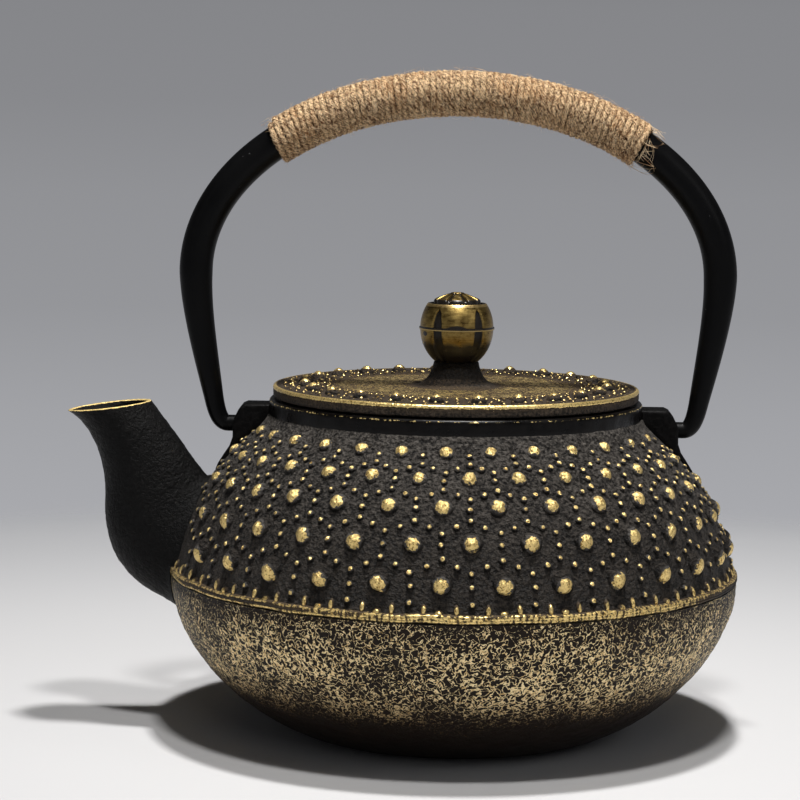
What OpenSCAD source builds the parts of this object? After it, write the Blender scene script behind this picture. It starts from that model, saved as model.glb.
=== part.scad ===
// Cast iron teapot with a hobnail dome, a swinging bail handle bound with jute,
// a round lid with a turning brass knob, and a steel infuser basket in the mouth.
// Millimetres, +Z up. The origin is the centre of the foot's underside.
// The spout points along -X, and the bail handle hinges about the X axis.

/* [Pot] */
// Diameter over the ridge where the bowl meets the dome
ridge_d = 175; // [172:1:178]
// Height of the ridge's underside
ridge_h = 48.2; // [47:0.2:49]
// Height of the ridge's band
ridge_band = 2.6; // [2:0.1:3]
// Diameter of the flat foot
foot_d = 89; // [84:1:96]
// Outside diameter of the neck
neck_d = 114.4; // [113.8:0.2:115]
// Height of the neck's top
neck_h = 102; // [101.8:0.1:102.2]
// Wall thickness of the casting
wall = 3.2; // [2.6:0.1:3.6]
// Clear diameter of the mouth
mouth_d = 104; // [102:0.5:105]

/* [Spout] */
// Half width of the spout at its root
spout_root_half_w = 16; // [13:0.5:18]
// Half width of the spout at its mouth
spout_mouth_half_w = 11; // [9:0.5:12]
// Wall thickness of the spout
spout_wall = 2.6; // [2:0.1:3]
// Diameter of the passage through the pot's wall
passage_d = 20; // [16:1:24]

/* [Lugs] */
// Width of each lug across the pot
lug_w = 11; // [9:0.5:13]
// Height of the lugs' flat tops
lug_top = 100.1; // [99.5:0.1:100.6]

/* [Lid] */
// Diameter of the lid
lid_d = 112.4; // [111:0.2:113]
// Height of the lid's upper face
lid_top = 106.2; // [105.8:0.1:106.6]
// Height of the riser that carries the knob
riser_top = 113.7; // [113.2:0.1:113.7]

/* [Knob] */
// Diameter of the knob's ball
knob_d = 22.5; // [21:0.5:24]
// Height of the seam round the ball
knob_seam_h = 124; // [123.8:0.1:124.4]
// Thickness of the ball's two shells
knob_wall = 1.4; // [1.1:0.1:1.7]

/* [Handle] */
// Height of the hinge axis through both lugs
pivot_h = 93.5; // [93:0.1:94]
// Diameter of the hooked ends
hook_d = 5; // [4.6:0.1:5.2]
// Radial clearance of the hooked ends in their lugs
hook_clearance = 0.08; // [0.04:0.01:0.1]
// Half the bail's width at its widest, to the middle of the bar
bail_half_w = 80.3; // [79.5:0.1:82]
// Rise of the arch above its widest point, to the middle of the bar
bail_rise = 55.5; // [52:0.5:58]
// Diameter of the bar at the arch
bar_d = 10.2; // [9.4:0.1:10.6]

/* [Grip] */
// Thickness of the jute binding
twine_t = 1.75; // [1.4:0.05:2.2]
// Angle on the arch, from the horizontal, where the binding ends
grip_angle = 47; // [42:1:60]

/* [Infuser] */
// Outside diameter of the basket's wall
basket_d = 97.2; // [96.8:0.1:97.6]
// Height of the basket's floor
basket_floor_h = 54; // [54:1:70]
// Thickness of the basket's sheet
sheet_t = 0.6; // [0.5:0.05:0.8]

/* [Hidden] */

iron = [0.13, 0.12, 0.12];
black_paint = [0.05, 0.05, 0.05];
brass = [0.55, 0.43, 0.2];
jute = [0.76, 0.58, 0.38];
steel = [0.72, 0.72, 0.74];

ridge_r = ridge_d / 2;
bowl_r = ridge_r - 0.3;
foot_r = foot_d / 2;
neck_r = neck_d / 2;
mouth_r = mouth_d / 2;
foot_t = wall + 0.4;
inner_foot_r = foot_r - 2;
ridge_top = ridge_h + ridge_band;

// The dome's outline is an arc about this centre, from the ridge up to the shoulder.
dome_r = 69.6;
dome_cx = ridge_r - 70.3;
dome_cz = ridge_h - 9.7;
dome_low = asin((ridge_top - dome_cz) / dome_r);
dome_high = 50;

// The bowl's outline is a superellipse with these two powers.
bowl_power_r = 1.45;
bowl_power_z = 1.06;

// Ledge inside the mouth, where the infuser's collar rests.
ledge_r = mouth_r + 2.3;
ledge_h = neck_h - 2.2;
collar_t = 0.8;
collar_r = ledge_r - 0.3;
basket_r = basket_d / 2;

lid_r = lid_d / 2;
lid_under = lid_top - 3.3;
lid_seat_h = ledge_h + collar_t + 0.1;
lid_flange_r = basket_r - sheet_t - 0.5;
lid_flange_wall = 3;
lid_flange_h = 96;
rivet_r = 2;
rivet_bore_r = 2.1;
riser_r = 6.9;
riser_foot_r = 11.6;

knob_r = knob_d / 2;
knob_height_r = 12.7;
knob_floor_h = riser_top + 0.1;
knob_cap_h = knob_seam_h + 7.5;
rosette_r = 7.5;
rosette_top = knob_cap_h + 3.4;

hook_r = hook_d / 2;
lug_face = 68.3;
lug_hole_end = 63.1;
hook_end = lug_hole_end + 0.4;
bar_end = 70;
bail_widest_h = 140;
bar_sides = 20;

function bezier(a, b, c, d, t) =
    pow(1 - t, 3) * a + 3 * t * pow(1 - t, 2) * b + 3 * t * t * (1 - t) * c + pow(t, 3) * d;

// Outer outline of the pot as [radius, height], from the foot to the top of the neck
function bowl_outline(r_in, r_out, low, high, steps) = [
    for (i = [0 : steps])
        let (a = 90 - 90 * i / steps)
        [
            r_in + (r_out - r_in) * pow(cos(a), bowl_power_r),
            high - (high - low) * pow(sin(a), bowl_power_z)
        ]
];
function dome_outline(radius, low, high, steps) = [
    for (i = [0 : steps])
        let (a = low + (high - low) * i / steps)
        [dome_cx + radius * cos(a), dome_cz + radius * sin(a)]
];
shoulder = [dome_cx + dome_r * cos(dome_high), dome_cz + dome_r * sin(dome_high)];
shoulder_outline = [
    for (i = [1 : 6])
        bezier(
            shoulder,
            shoulder + [-2.2, 2],
            [neck_r, shoulder[1] + 4.4],
            [neck_r, shoulder[1] + 7],
            i / 6
        )
];
bowl_outer = concat(
    bowl_outline(foot_r, bowl_r, 0, ridge_h, 22),
    [[ridge_r, ridge_h], [ridge_r, ridge_top]]
);
dome_outer = concat(
    dome_outline(dome_r, dome_low, dome_high, 14),
    shoulder_outline,
    [[neck_r, neck_h - 0.6], [neck_r - 0.6, neck_h]]
);
// The inner outlines, which meet at the top of the ridge as the outer ones do
inner_r = dome_r - wall;
inner_high = acos((mouth_r - dome_cx) / inner_r);
inner_middle = asin((ridge_top - dome_cz) / inner_r);
inner_low = asin((ridge_h - dome_cz) / inner_r);
bowl_inner = concat(
    bowl_outline(inner_foot_r, dome_cx + inner_r * cos(inner_low), foot_t, ridge_h, 16),
    dome_outline(inner_r, inner_middle, inner_middle, 1)
);
dome_inner = concat(
    dome_outline(inner_r, inner_middle, inner_high, 12),
    [[mouth_r, ledge_h], [ledge_r, ledge_h], [ledge_r, neck_h]]
);

// Everything inside the pot's outer surface, used to trim what is cast onto it
module pot_outer_solid() {
    rotate_extrude($fn = 96)
        polygon(concat([[0, 0]], bowl_outer, dome_outer, [[0, neck_h]]));
}

// The passage from the pot into the spout starts inside and rises towards the spout.
passage_start = [-70, 0, 56];
passage_tilt = 78;
passage_length = 30;
function reversed(points) = [for (i = [len(points) - 1 : -1 : 0]) points[i]];
module turned_with_passage(outline) {
    difference() {
        rotate_extrude($fn = 96)
            polygon(outline);
        translate(passage_start)
            rotate([0, -passage_tilt, 0])
                cylinder(d = passage_d, h = passage_length, $fn = 48);
    }
}

// The lower half of the casting: the foot, the bowl and the ridge
module pot_bowl() {
    color(iron)
        turned_with_passage(concat([[0, 0]], bowl_outer, reversed(bowl_inner), [[0, foot_t]]));
}

// The upper half of the same casting: the dome, the neck and the ledge in its mouth
module pot_dome() {
    color(iron)
        turned_with_passage(concat(dome_outer, reversed(dome_inner)));
}

// The pot's outer radius at a height
function bowl_radius(z) =
    let (s = pow(1 - z / ridge_h, 1 / bowl_power_z))
    foot_r + (bowl_r - foot_r) * pow(1 - s * s, bowl_power_r / 2);
function pot_radius(z) =
    z < ridge_h ? bowl_radius(max(z, 0))
    : z < ridge_top ? ridge_r
    : dome_cx + sqrt(dome_r * dome_r - pow(z - dome_cz, 2));

// The spout's front and rear outlines as [x, z]; t goes from 0 inside the wall to 1 at the mouth.
function spout_front(t) =
    t < 0.5
        ? bezier([-78, 36.2], [-94, 38.5], [-107.5, 46], [-108, 66], 2 * t)
        : bezier([-108, 66], [-107.6, 76], [-109, 90.5], [-119.6, 96.6], 2 * t - 1);
spout_rear_root = [-71, 68.9];
spout_rear_tip = [-93.9, 99.9];
function spout_rear(t) =
    let (s = t < 0.5 ? 0.7 * t : 0.35 + 1.3 * (t - 0.5))
    spout_rear_root + (spout_rear_tip - spout_rear_root) * s;
function spout_half_width(t) =
    spout_root_half_w + (spout_mouth_half_w - spout_root_half_w) * (1 - pow(max(1 - t, 0), 1.6));

// A point of the spout's surface, or of its bore when inset by the wall, at an angle round it
function spout_point(t, angle, inset) =
    let (
        front = spout_front(t),
        rear = spout_rear(t),
        middle = (front + rear) / 2,
        along = (rear - front) / norm(rear - front),
        p = middle + along * (norm(rear - front) / 2 - inset) * cos(angle)
    )
    [p[0], (spout_half_width(t) - inset) * sin(angle), p[1]];
function outside_pot(p) = norm([p[0], p[1]]) > pot_radius(p[2]);
// Where the line along the spout at an angle leaves the pot's wall, by halving the interval
function spout_root(angle, inset, low = 0, high = 0.6, rounds = 16) =
    let (middle = (low + high) / 2)
    rounds == 0 ? middle
    : outside_pot(spout_point(middle, angle, inset))
        ? spout_root(angle, inset, low, middle, rounds - 1)
        : spout_root(angle, inset, middle, high, rounds - 1);

spout_sides = 28;
spout_steps = 22;
spout_angles = [for (i = [0 : spout_sides - 1]) 360 * i / spout_sides];
function spout_rings(inset) =
    let (roots = [for (a = spout_angles) spout_root(a, inset)])
    [
        for (k = [0 : spout_steps])
            [
                for (i = [0 : spout_sides - 1])
                    spout_point(roots[i] + (1 - roots[i]) * k / spout_steps, spout_angles[i], inset)
            ]
    ];

// Faces between rings of points that all have the same number of sides, from ring k to ring l
function band_faces(k, l, sides) = [
    for (i = [0 : sides - 1])
        let (j = (i + 1) % sides)
        each [
            [k * sides + i, l * sides + j, k * sides + j],
            [k * sides + i, l * sides + i, l * sides + j]
        ]
];
// A closed solid through rings of points, with a flat face at each end
module loft(rings) {
    sides = len(rings[0]);
    count = len(rings);
    polyhedron(
        points = [for (ring = rings) each ring],
        faces = concat(
            [[for (i = [0 : sides - 1]) i]],
            [for (k = [0 : count - 2]) each band_faces(k, k + 1, sides)],
            [[for (i = [sides - 1 : -1 : 0]) (count - 1) * sides + i]]
        )
    );
}
// A closed wall between outer rings and as many inner rings
module loft_wall(outer, inner) {
    sides = len(outer[0]);
    rings = concat(outer, [for (k = [len(inner) - 1 : -1 : 0]) inner[k]]);
    count = len(rings);
    polyhedron(
        points = [for (ring = rings) each ring],
        faces = [for (k = [0 : count - 1]) each band_faces(k, (k + 1) % count, sides)]
    );
}

module spout() {
    color(iron) loft_wall(spout_rings(0), spout_rings(spout_wall));
}

// A lug on the +X side: a flat-topped ear with a blind hole for the handle's hooked end
lug_corner = 3.4;
lug_chin_h = lug_top - 5.4;
lug_low_h = 82;
lug_inside = 50;
lug_outline = concat(
    [[lug_inside, lug_top]],
    [
        for (i = [0 : 6])
            let (a = 90 - 60 * i / 6)
            [lug_face - 6 + lug_corner * cos(a), lug_top - lug_corner + lug_corner * sin(a)]
    ],
    [[lug_face, lug_chin_h], [lug_face, lug_low_h], [lug_inside, lug_low_h]]
);
module lug() {
    difference() {
        translate([0, lug_w / 2, 0])
            rotate([90, 0, 0])
                linear_extrude(lug_w)
                    polygon(lug_outline);
        pot_outer_solid();
        translate([lug_hole_end, 0, pivot_h])
            rotate([0, 90, 0])
                cylinder(r = hook_r + hook_clearance, h = 20, $fn = 48);
    }
}
module lug_spout_side() {
    color(iron) mirror([1, 0, 0]) lug();
}
module lug_back_side() {
    color(iron) lug();
}

// The bail's centreline on the +X side as [x, z]; t goes from 0 at the hook to 1 at the top.
bend_top = [bail_half_w - 5.7, 101.5];
bend_share = 0.14;
leg_share = 0.36;
function bail_point(t) =
    t < bend_share
        ? bezier(
            [bar_end, pivot_h],
            [bar_end + 2.6, pivot_h],
            bend_top + [-0.9, -4.7],
            bend_top,
            t / bend_share
        )
        : t < leg_share
            ? bezier(
                bend_top,
                bend_top + [2.5, 13],
                [bail_half_w, bail_widest_h - 11],
                [bail_half_w, bail_widest_h],
                (t - bend_share) / (leg_share - bend_share)
            )
            : let (a = 90 * (t - leg_share) / (1 - leg_share))
              [bail_half_w * cos(a), bail_widest_h + bail_rise * sin(a)];
function bail_tangent(t) =
    let (
        step = 0.002,
        low = max(t - step, 0),
        high = min(t + step, 1),
        d = bail_point(high) - bail_point(low)
    )
    t < 0.001 ? [1, 0] : t > 0.999 ? [-1, 0] : d / norm(d);
// The bar is thin at the hook and thickens up the leg.
function bar_radius(t) =
    t < bend_share
        ? hook_r + 0.5 * t / bend_share
        : t < leg_share
            ? let (u = (t - bend_share) / (leg_share - bend_share))
              hook_r + 0.5 + (bar_d / 2 - hook_r - 0.5) * (1.25 * u - 0.25 * u * u)
            : bar_d / 2;
function bar_ring(t, radius) =
    let (p = bail_point(t), d = bail_tangent(t))
    [
        for (i = [0 : bar_sides - 1])
            let (a = 360 * i / bar_sides, out = radius * cos(a))
            [p[0] + d[1] * out, radius * sin(a), p[1] - d[0] * out]
    ];
bend_steps = 8;
leg_steps = 10;
arch_steps = 18;
bail_stations = concat(
    [for (i = [0 : bend_steps]) bend_share * i / bend_steps],
    [for (i = [1 : leg_steps]) bend_share + (leg_share - bend_share) * i / leg_steps],
    [for (i = [1 : arch_steps]) leg_share + (1 - leg_share) * i / arch_steps]
);
// Mirroring a ring turns its winding round, so the far side's points run the other way.
function far_ring(t, radius) =
    let (ring = bar_ring(t, radius))
    [for (p = ring) [-p[0], p[1], p[2]]];
function bar_rings(stations, extra) = concat(
    [for (t = stations) bar_ring(t, bar_radius(t) + extra)],
    [for (i = [len(stations) - 2 : -1 : 0]) far_ring(stations[i], bar_radius(stations[i]) + extra)]
);
module bail_handle() {
    color(black_paint) loft(bar_rings(bail_stations, 0));
}

module hook_pin() {
    translate([hook_end, 0, pivot_h])
        rotate([0, 90, 0])
            cylinder(r = hook_r, h = bar_end - hook_end, $fn = 48);
}
module hook_pin_spout_side() {
    color(black_paint) mirror([1, 0, 0]) hook_pin();
}
module hook_pin_back_side() {
    color(black_paint) hook_pin();
}

// The binding is a sleeve round the bar, over the top of the arch.
grip_steps = 12;
grip_gap = 0.05;
grip_start = leg_share + (1 - leg_share) * grip_angle / 90;
grip_stations = [for (i = [0 : grip_steps]) grip_start + (1 - grip_start) * i / grip_steps];
module grip_wrap() {
    color(jute) loft_wall(bar_rings(grip_stations, twine_t), bar_rings(grip_stations, grip_gap));
}

lid_edge_round = 0.8;
module lid() {
    riser = [
        for (i = [0 : 8])
            bezier(
                [riser_foot_r, lid_top],
                [riser_r + 1.4, lid_top + 1.4],
                [riser_r + 0.5, lid_top + 4],
                [riser_r, riser_top],
                i / 8
            )
    ];
    color(iron)
    rotate_extrude($fn = 96)
        polygon(concat(
            [
                [rivet_bore_r, lid_under],
                [lid_flange_r - lid_flange_wall, lid_under],
                [lid_flange_r - lid_flange_wall, lid_flange_h],
                [lid_flange_r, lid_flange_h],
                [lid_flange_r, lid_seat_h],
                [collar_r - 0.5, lid_seat_h],
                [collar_r - 0.5, neck_h + 0.5],
                [lid_r - lid_edge_round, neck_h + 0.5],
                [lid_r, neck_h + 0.5 + lid_edge_round],
                [lid_r, lid_top - lid_edge_round],
                [lid_r - 0.3 * lid_edge_round, lid_top - 0.3 * lid_edge_round],
                [lid_r - lid_edge_round, lid_top]
            ],
            riser,
            [[rivet_bore_r, riser_top]]
        ));
}

// Outline of half the ball between two heights, as [radius, height]
function ball_outline(low, high, inset, steps) = [
    for (i = [0 : steps])
        let (z = low + (high - low) * i / steps, s = (z - knob_seam_h) / (knob_height_r - inset))
        [(knob_r - inset) * sqrt(1 - s * s), z]
];
seam_lip = 0.3;
knob_floor_top = knob_floor_h + 1.6;
module knob_lower_shell() {
    inside = ball_outline(knob_floor_top, knob_seam_h, knob_wall, 8);
    color(brass)
    rotate_extrude($fn = 64)
        polygon(concat(
            [[rivet_r + 0.05, knob_floor_h]],
            ball_outline(knob_floor_h, knob_seam_h - seam_lip, 0, 12),
            [[knob_r + seam_lip, knob_seam_h - seam_lip], [knob_r + seam_lip, knob_seam_h]],
            [for (i = [len(inside) - 1 : -1 : 0]) inside[i]],
            [[rivet_r + 0.05, knob_floor_top]]
        ));
}
module knob_upper_shell() {
    inside = ball_outline(knob_seam_h, knob_cap_h - knob_wall, knob_wall, 6);
    peg_hole_r = 2.5;
    color(brass)
    rotate_extrude($fn = 64)
        polygon(concat(
            [[knob_r + seam_lip, knob_seam_h], [knob_r + seam_lip, knob_seam_h + seam_lip]],
            ball_outline(knob_seam_h + seam_lip, knob_cap_h - 0.4, 0, 10),
            [[rosette_r + 1, knob_cap_h], [peg_hole_r, knob_cap_h]],
            [[peg_hole_r, knob_cap_h - knob_wall]],
            [for (i = [len(inside) - 1 : -1 : 0]) inside[i]]
        ));
}
module knob_rosette() {
    peg_r = 2.45;
    rim = 0.9;
    rise = rosette_top - knob_cap_h - rim;
    color(brass)
    rotate_extrude($fn = 64)
        polygon(concat(
            [[0, knob_cap_h - knob_wall], [peg_r, knob_cap_h - knob_wall], [peg_r, knob_cap_h]],
            [[rosette_r, knob_cap_h]],
            [
                for (i = [0 : 8])
                    let (a = 90 * i / 8)
                    [rosette_r * cos(a), knob_cap_h + rim + rise * pow(sin(a), 1.3)]
            ]
        ));
}
rivet_head_r = 4;
rivet_tail_r = 3.4;
rivet_tail_t = 1.2;
washer_r = 5.5;
washer_t = 0.8;
washer_top = lid_under - 0.1;
module knob_rivet() {
    color(steel)
    rotate_extrude($fn = 48)
        polygon([
            [0, washer_top - washer_t - rivet_tail_t],
            [rivet_tail_r - 0.8, washer_top - washer_t - rivet_tail_t],
            [rivet_tail_r, washer_top - washer_t - rivet_tail_t / 2],
            [rivet_tail_r, washer_top - washer_t],
            [rivet_r, washer_top - washer_t],
            [rivet_r, knob_floor_top],
            [rivet_head_r, knob_floor_top],
            [rivet_head_r, knob_floor_top + 1.2],
            [rivet_head_r - 1.2, knob_floor_top + 2],
            [0, knob_floor_top + 2]
        ]);
}
module knob_washer() {
    color(steel)
    translate([0, 0, washer_top - washer_t])
        difference() {
            cylinder(r = washer_r, h = washer_t, $fn = 48);
            translate([0, 0, -1])
                cylinder(r = rivet_r + 0.05, h = washer_t + 2, $fn = 48);
        }
}

module infuser_collar() {
    color(steel)
    translate([0, 0, ledge_h])
        difference() {
            cylinder(r = collar_r, h = collar_t, $fn = 96);
            translate([0, 0, -1])
                cylinder(r = basket_r - sheet_t, h = collar_t + 2, $fn = 96);
        }
}
module infuser_wall() {
    color(steel)
    translate([0, 0, basket_floor_h])
        difference() {
            cylinder(r = basket_r, h = ledge_h - basket_floor_h, $fn = 96);
            translate([0, 0, -1])
                cylinder(r = basket_r - sheet_t, h = ledge_h - basket_floor_h + 2, $fn = 96);
        }
}
module infuser_floor() {
    color(steel)
    translate([0, 0, basket_floor_h - sheet_t])
        cylinder(r = basket_r, h = sheet_t, $fn = 96);
}

pot_bowl();
pot_dome();
spout();
lug_spout_side();
lug_back_side();
bail_handle();
hook_pin_spout_side();
hook_pin_back_side();
grip_wrap();
lid();
knob_lower_shell();
knob_upper_shell();
knob_rosette();
knob_rivet();
knob_washer();
infuser_collar();
infuser_wall();
infuser_floor();
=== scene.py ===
"""Looks for the cast iron teapot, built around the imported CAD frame."""
import math
from math import cos, hypot, pi, radians, sin, sqrt
from random import choice, gauss, random, seed, uniform

import bmesh
import bpy
import numpy as np
from mathutils import Matrix, Vector


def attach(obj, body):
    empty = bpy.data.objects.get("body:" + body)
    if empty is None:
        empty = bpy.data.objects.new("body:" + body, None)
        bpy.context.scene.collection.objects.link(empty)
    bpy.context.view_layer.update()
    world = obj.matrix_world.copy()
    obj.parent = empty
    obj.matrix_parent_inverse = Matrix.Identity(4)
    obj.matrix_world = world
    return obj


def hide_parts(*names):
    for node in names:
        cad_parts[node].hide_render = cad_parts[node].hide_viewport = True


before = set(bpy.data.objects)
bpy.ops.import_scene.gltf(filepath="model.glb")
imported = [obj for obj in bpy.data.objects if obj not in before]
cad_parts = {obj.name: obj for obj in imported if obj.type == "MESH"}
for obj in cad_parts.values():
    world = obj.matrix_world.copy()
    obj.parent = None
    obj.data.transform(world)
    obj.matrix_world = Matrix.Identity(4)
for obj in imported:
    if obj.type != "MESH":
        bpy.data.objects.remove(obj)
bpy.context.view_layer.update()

MM = 0.001
UP = np.array([0, 0, 1.0])
seed(11)
rng = np.random.default_rng(11)


def place_object(name, data):
    obj = bpy.data.objects.new(name, data)
    bpy.context.scene.collection.objects.link(obj)
    return obj


# ---- camera
def make_camera():
    data = bpy.data.cameras.new("camera")
    data.sensor_width = 36
    data.lens = 118.93
    data.clip_start, data.clip_end = 0.01, 20
    cam = place_object("camera", data)
    right = Vector((0.9996388, 0.0229147, 0.0140439))
    up = Vector((-0.0164427, 0.1080961, 0.9940044))
    forward = Vector((-0.02125922, 0.99387632, -0.10843385))
    turn = Matrix((right, up, -forward)).transposed().to_4x4()
    cam.matrix_world = Matrix.Translation((0.00018, -0.80937, 0.18972)) @ turn
    bpy.context.scene.camera = cam
    bpy.context.scene.view_settings.view_transform = "Standard"


make_camera()


# ---- node helpers
class Shader:
    """A Principled material built from a few short calls."""

    def __init__(self, name, **values):
        self.mat = bpy.data.materials.new(name)
        self.mat.use_nodes = True
        self.tree = self.mat.node_tree
        self.bsdf = self.tree.nodes["Principled BSDF"]
        self.set(**values)
        self.place = self.tree.nodes.new("ShaderNodeTexCoord").outputs["Object"]

    def node(self, kind, inputs=(), **settings):
        n = self.tree.nodes.new(kind)
        for key, value in settings.items():
            setattr(n, key, value)
        for key, value in dict(inputs).items():
            self.feed(value, n.inputs[key])
        return n

    def feed(self, value, socket):
        if isinstance(value, bpy.types.NodeSocket):
            self.tree.links.new(value, socket)
        else:
            socket.default_value = value

    def set(self, **values):
        for key, value in values.items():
            self.feed(value, self.bsdf.inputs[key.replace("_", " ")])
        return self.mat

    def noise(self, scale, detail=2, rough=0.5, distortion=0, vector=None):
        inputs = {"Vector": vector or self.place, "Scale": scale, "Detail": detail, "Roughness": rough}
        return self.node("ShaderNodeTexNoise", {**inputs, "Distortion": distortion}).outputs["Fac"]

    def cells(self, scale):
        return self.node("ShaderNodeTexVoronoi", {"Vector": self.place, "Scale": scale}).outputs["Distance"]

    def math(self, operation, a, b=0.0, c=0.0):
        return self.node("ShaderNodeMath", {0: a, 1: b, 2: c}, operation=operation).outputs[0]

    def times(self, a, b):
        return self.math("MULTIPLY", a, b)

    def plus(self, a, b, share=None):
        """a + b, or a + b * share."""
        return self.math("ADD", a, b if share is None else self.times(b, share))

    def waver(self, a, noise, amount):
        """a shifted up and down by a noise around one half."""
        return self.plus(a, self.math("SUBTRACT", noise, 0.5), amount)

    def span(self, value, low, high, to_low=0.0, to_high=1.0):
        inputs = {"Value": value, "From Min": low, "From Max": high, "To Min": to_low, "To Max": to_high}
        return self.node("ShaderNodeMapRange", inputs, interpolation_type="SMOOTHSTEP").outputs["Result"]

    def mix(self, share, a, b):
        return self.node("ShaderNodeMix", data_type="RGBA", inputs={0: share, 6: a, 7: b}).outputs[2]

    def attribute(self, name, output="Fac"):
        return self.node("ShaderNodeAttribute", attribute_name=name).outputs[output]

    def stretch(self, x, y, z, vector=None):
        inputs = {"Vector": vector or self.place, "Scale": (x, y, z)}
        return self.node("ShaderNodeMapping", inputs).outputs["Vector"]

    def height_of_place(self):
        return self.node("ShaderNodeSeparateXYZ", {"Vector": self.place}).outputs["Z"]

    def bump(self, height, distance):
        return self.node("ShaderNodeBump", {"Height": height, "Distance": distance, "Strength": 1.0}).outputs["Normal"]


def rgb(r, g, b):
    return (r, g, b, 1.0)


# ---- materials
IRON_DARK = rgb(0.013, 0.0118, 0.011)
# painted shade and light: the dome's iron in its low, shaded tone and in its high, lit tone
IRON_SHADED_LOW = rgb(0.05, 0.042, 0.035)
IRON_LIT_TOP = rgb(0.118, 0.106, 0.094)
LID_WARM = rgb(0.075, 0.056, 0.04)
PAINTED_CREVICE_SHADE = rgb(0.004, 0.0034, 0.003)
GOLD = rgb(1.0, 0.755, 0.31)
GOLD_DEEP = rgb(0.36, 0.205, 0.05)
BRONZE = rgb(0.075, 0.05, 0.026)
BURNISH = rgb(0.15, 0.14, 0.13)


def iron_with_gold(name, grain, relief, soft=0.06, torn=780, warm=IRON_LIT_TOP, wash=BURNISH):
    """Cast iron with gold paint where the attribute gold is high: 0.5 is the edge, torn by noise. From 0.04 to 0.4
    there is only a wash, and below 0 painted shade, as in a crevice."""
    s = Shader(name, Specular_IOR_Level=0.16)
    coarse = s.noise(95, 3, 0.6)
    fine = s.noise(grain, 4, 0.62)
    cast = s.plus(fine, s.cells(grain * 0.75), 0.5)
    # painted light and shade: the iron runs from a shaded tone low on the dome to a lit tone at its top
    height = s.span(s.height_of_place(), 0.06, 0.096)
    cloud = s.span(s.math("ADD", s.times(coarse, 0.2), s.times(fine, 0.85)), 0.4, 0.66)
    body = s.mix(cloud, IRON_DARK, s.mix(height, IRON_SHADED_LOW, warm))
    gold = s.attribute("gold")
    # painted shade: a negative gold value darkens the iron towards a crevice tone
    body = s.mix(s.span(gold, -0.05, -0.4, 0.0, 0.85), body, PAINTED_CREVICE_SHADE)
    body = s.mix(s.span(gold, 0.04, 0.4, 0.0, 0.7), body, wash)
    edge = s.waver(gold, s.noise(torn, 3, 0.65), 1.5)
    edge = s.waver(edge, s.noise(260, 2, 0.5), 0.4)
    paint = s.span(edge, 0.5, 0.5 + soft)
    tone = s.span(s.noise(1700, 2, 0.6), 0.33, 0.5)
    relief_under_paint = s.span(paint, 0, 1, 1.0, 0.24)
    return s.set(
        Base_Color=s.mix(paint, body, s.mix(tone, GOLD_DEEP, GOLD)),
        Metallic=s.times(paint, 0.8),
        Roughness=s.span(s.math("ADD", s.times(paint, -0.45), fine), -0.1, 0.8, 0.3, 0.62),
        Normal=s.bump(s.times(s.plus(cast, s.noise(1900, 2, 0.6), 0.5), relief_under_paint), relief),
    )


def bowl_material():
    """Black iron with a fine worm-like relief whose tops carry gold, less of it under the ridge and at the foot."""
    s = Shader("bowl_gilt", Specular_IOR_Level=0.12)
    z = s.height_of_place()
    crest = s.math("ABSOLUTE", s.math("SUBTRACT", s.noise(690, 1.2, 0.45, 0.6), 0.5))
    fine = s.noise(2300, 3, 0.6)
    field = s.math("SUBTRACT", s.math("MULTIPLY_ADD", fine, 0.18, 0.467), crest)
    middle = s.span(z, 0.052, 0.036, -0.04, 0.0)
    low = s.span(z, 0.026, 0.001, 0.0, -0.125)
    bias = s.waver(s.plus(middle, low), s.noise(70, 2, 0.5), 0.1)
    field = s.plus(s.plus(field, bias), s.attribute("gold"), 0.3)
    paint = s.span(field, 0.5, 0.52)
    tone = s.span(s.noise(900, 3, 0.6), 0.3, 0.6)
    gilt = s.mix(tone, rgb(0.62, 0.43, 0.19), rgb(1.0, 0.82, 0.48))
    # painted shade: the gold darkens towards the foot
    gilt = s.mix(s.span(z, 0.03, 0.01), gilt, rgb(0.26, 0.15, 0.055))
    body = s.mix(fine, rgb(0.008, 0.0052, 0.0036), rgb(0.02, 0.013, 0.009))
    return s.set(
        Base_Color=s.mix(paint, body, gilt),
        Metallic=s.times(paint, 0.5),
        Roughness=s.span(paint, 0, 1, 0.45, 0.5),
        Normal=s.bump(s.plus(s.span(field, 0.42, 0.56), fine, 0.25), 0.00032),
    )


def black_cast_material(name, grain, relief, roughness, shade, gloss):
    """Satin black enamel over cast iron, with gold where the attribute gold is high."""
    s = Shader(name, Specular_IOR_Level=gloss)
    lumps = s.noise(grain, 3, 0.55, 0.4)
    fine = s.noise(grain * 3.1, 3, 0.6)
    paint = s.span(s.waver(s.attribute("gold"), s.noise(900, 3, 0.7), 0.9), 0.5, 0.58)
    light = rgb(*(2.1 * c for c in shade))
    return s.set(
        Base_Color=s.mix(paint, s.mix(s.span(lumps, 0.35, 0.65), rgb(*shade), light), GOLD),
        Metallic=s.times(paint, 0.7),
        Roughness=s.span(lumps, 0.3, 0.7, roughness, roughness + 0.14),
        Normal=s.bump(s.plus(lumps, fine, 0.35), relief),
    )


def handle_material():
    """Satin black paint with a faint orange-peel and a few pale dust specks."""
    s = Shader("handle_paint", Specular_IOR_Level=0.085)
    haze = s.noise(60, 3, 0.6)
    dust = s.times(s.span(s.cells(420), 0.075, 0.05), s.span(s.noise(150, 1, 0.5), 0.6, 0.66))
    black = s.mix(haze, rgb(0.0018, 0.0018, 0.002), rgb(0.0044, 0.0044, 0.0047))
    return s.set(
        Base_Color=s.mix(dust, black, rgb(0.16, 0.16, 0.16)),
        Roughness=s.span(haze, 0.3, 0.7, 0.3, 0.42),
        Normal=s.bump(s.noise(900, 2, 0.5), 0.00004),
    )


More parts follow.
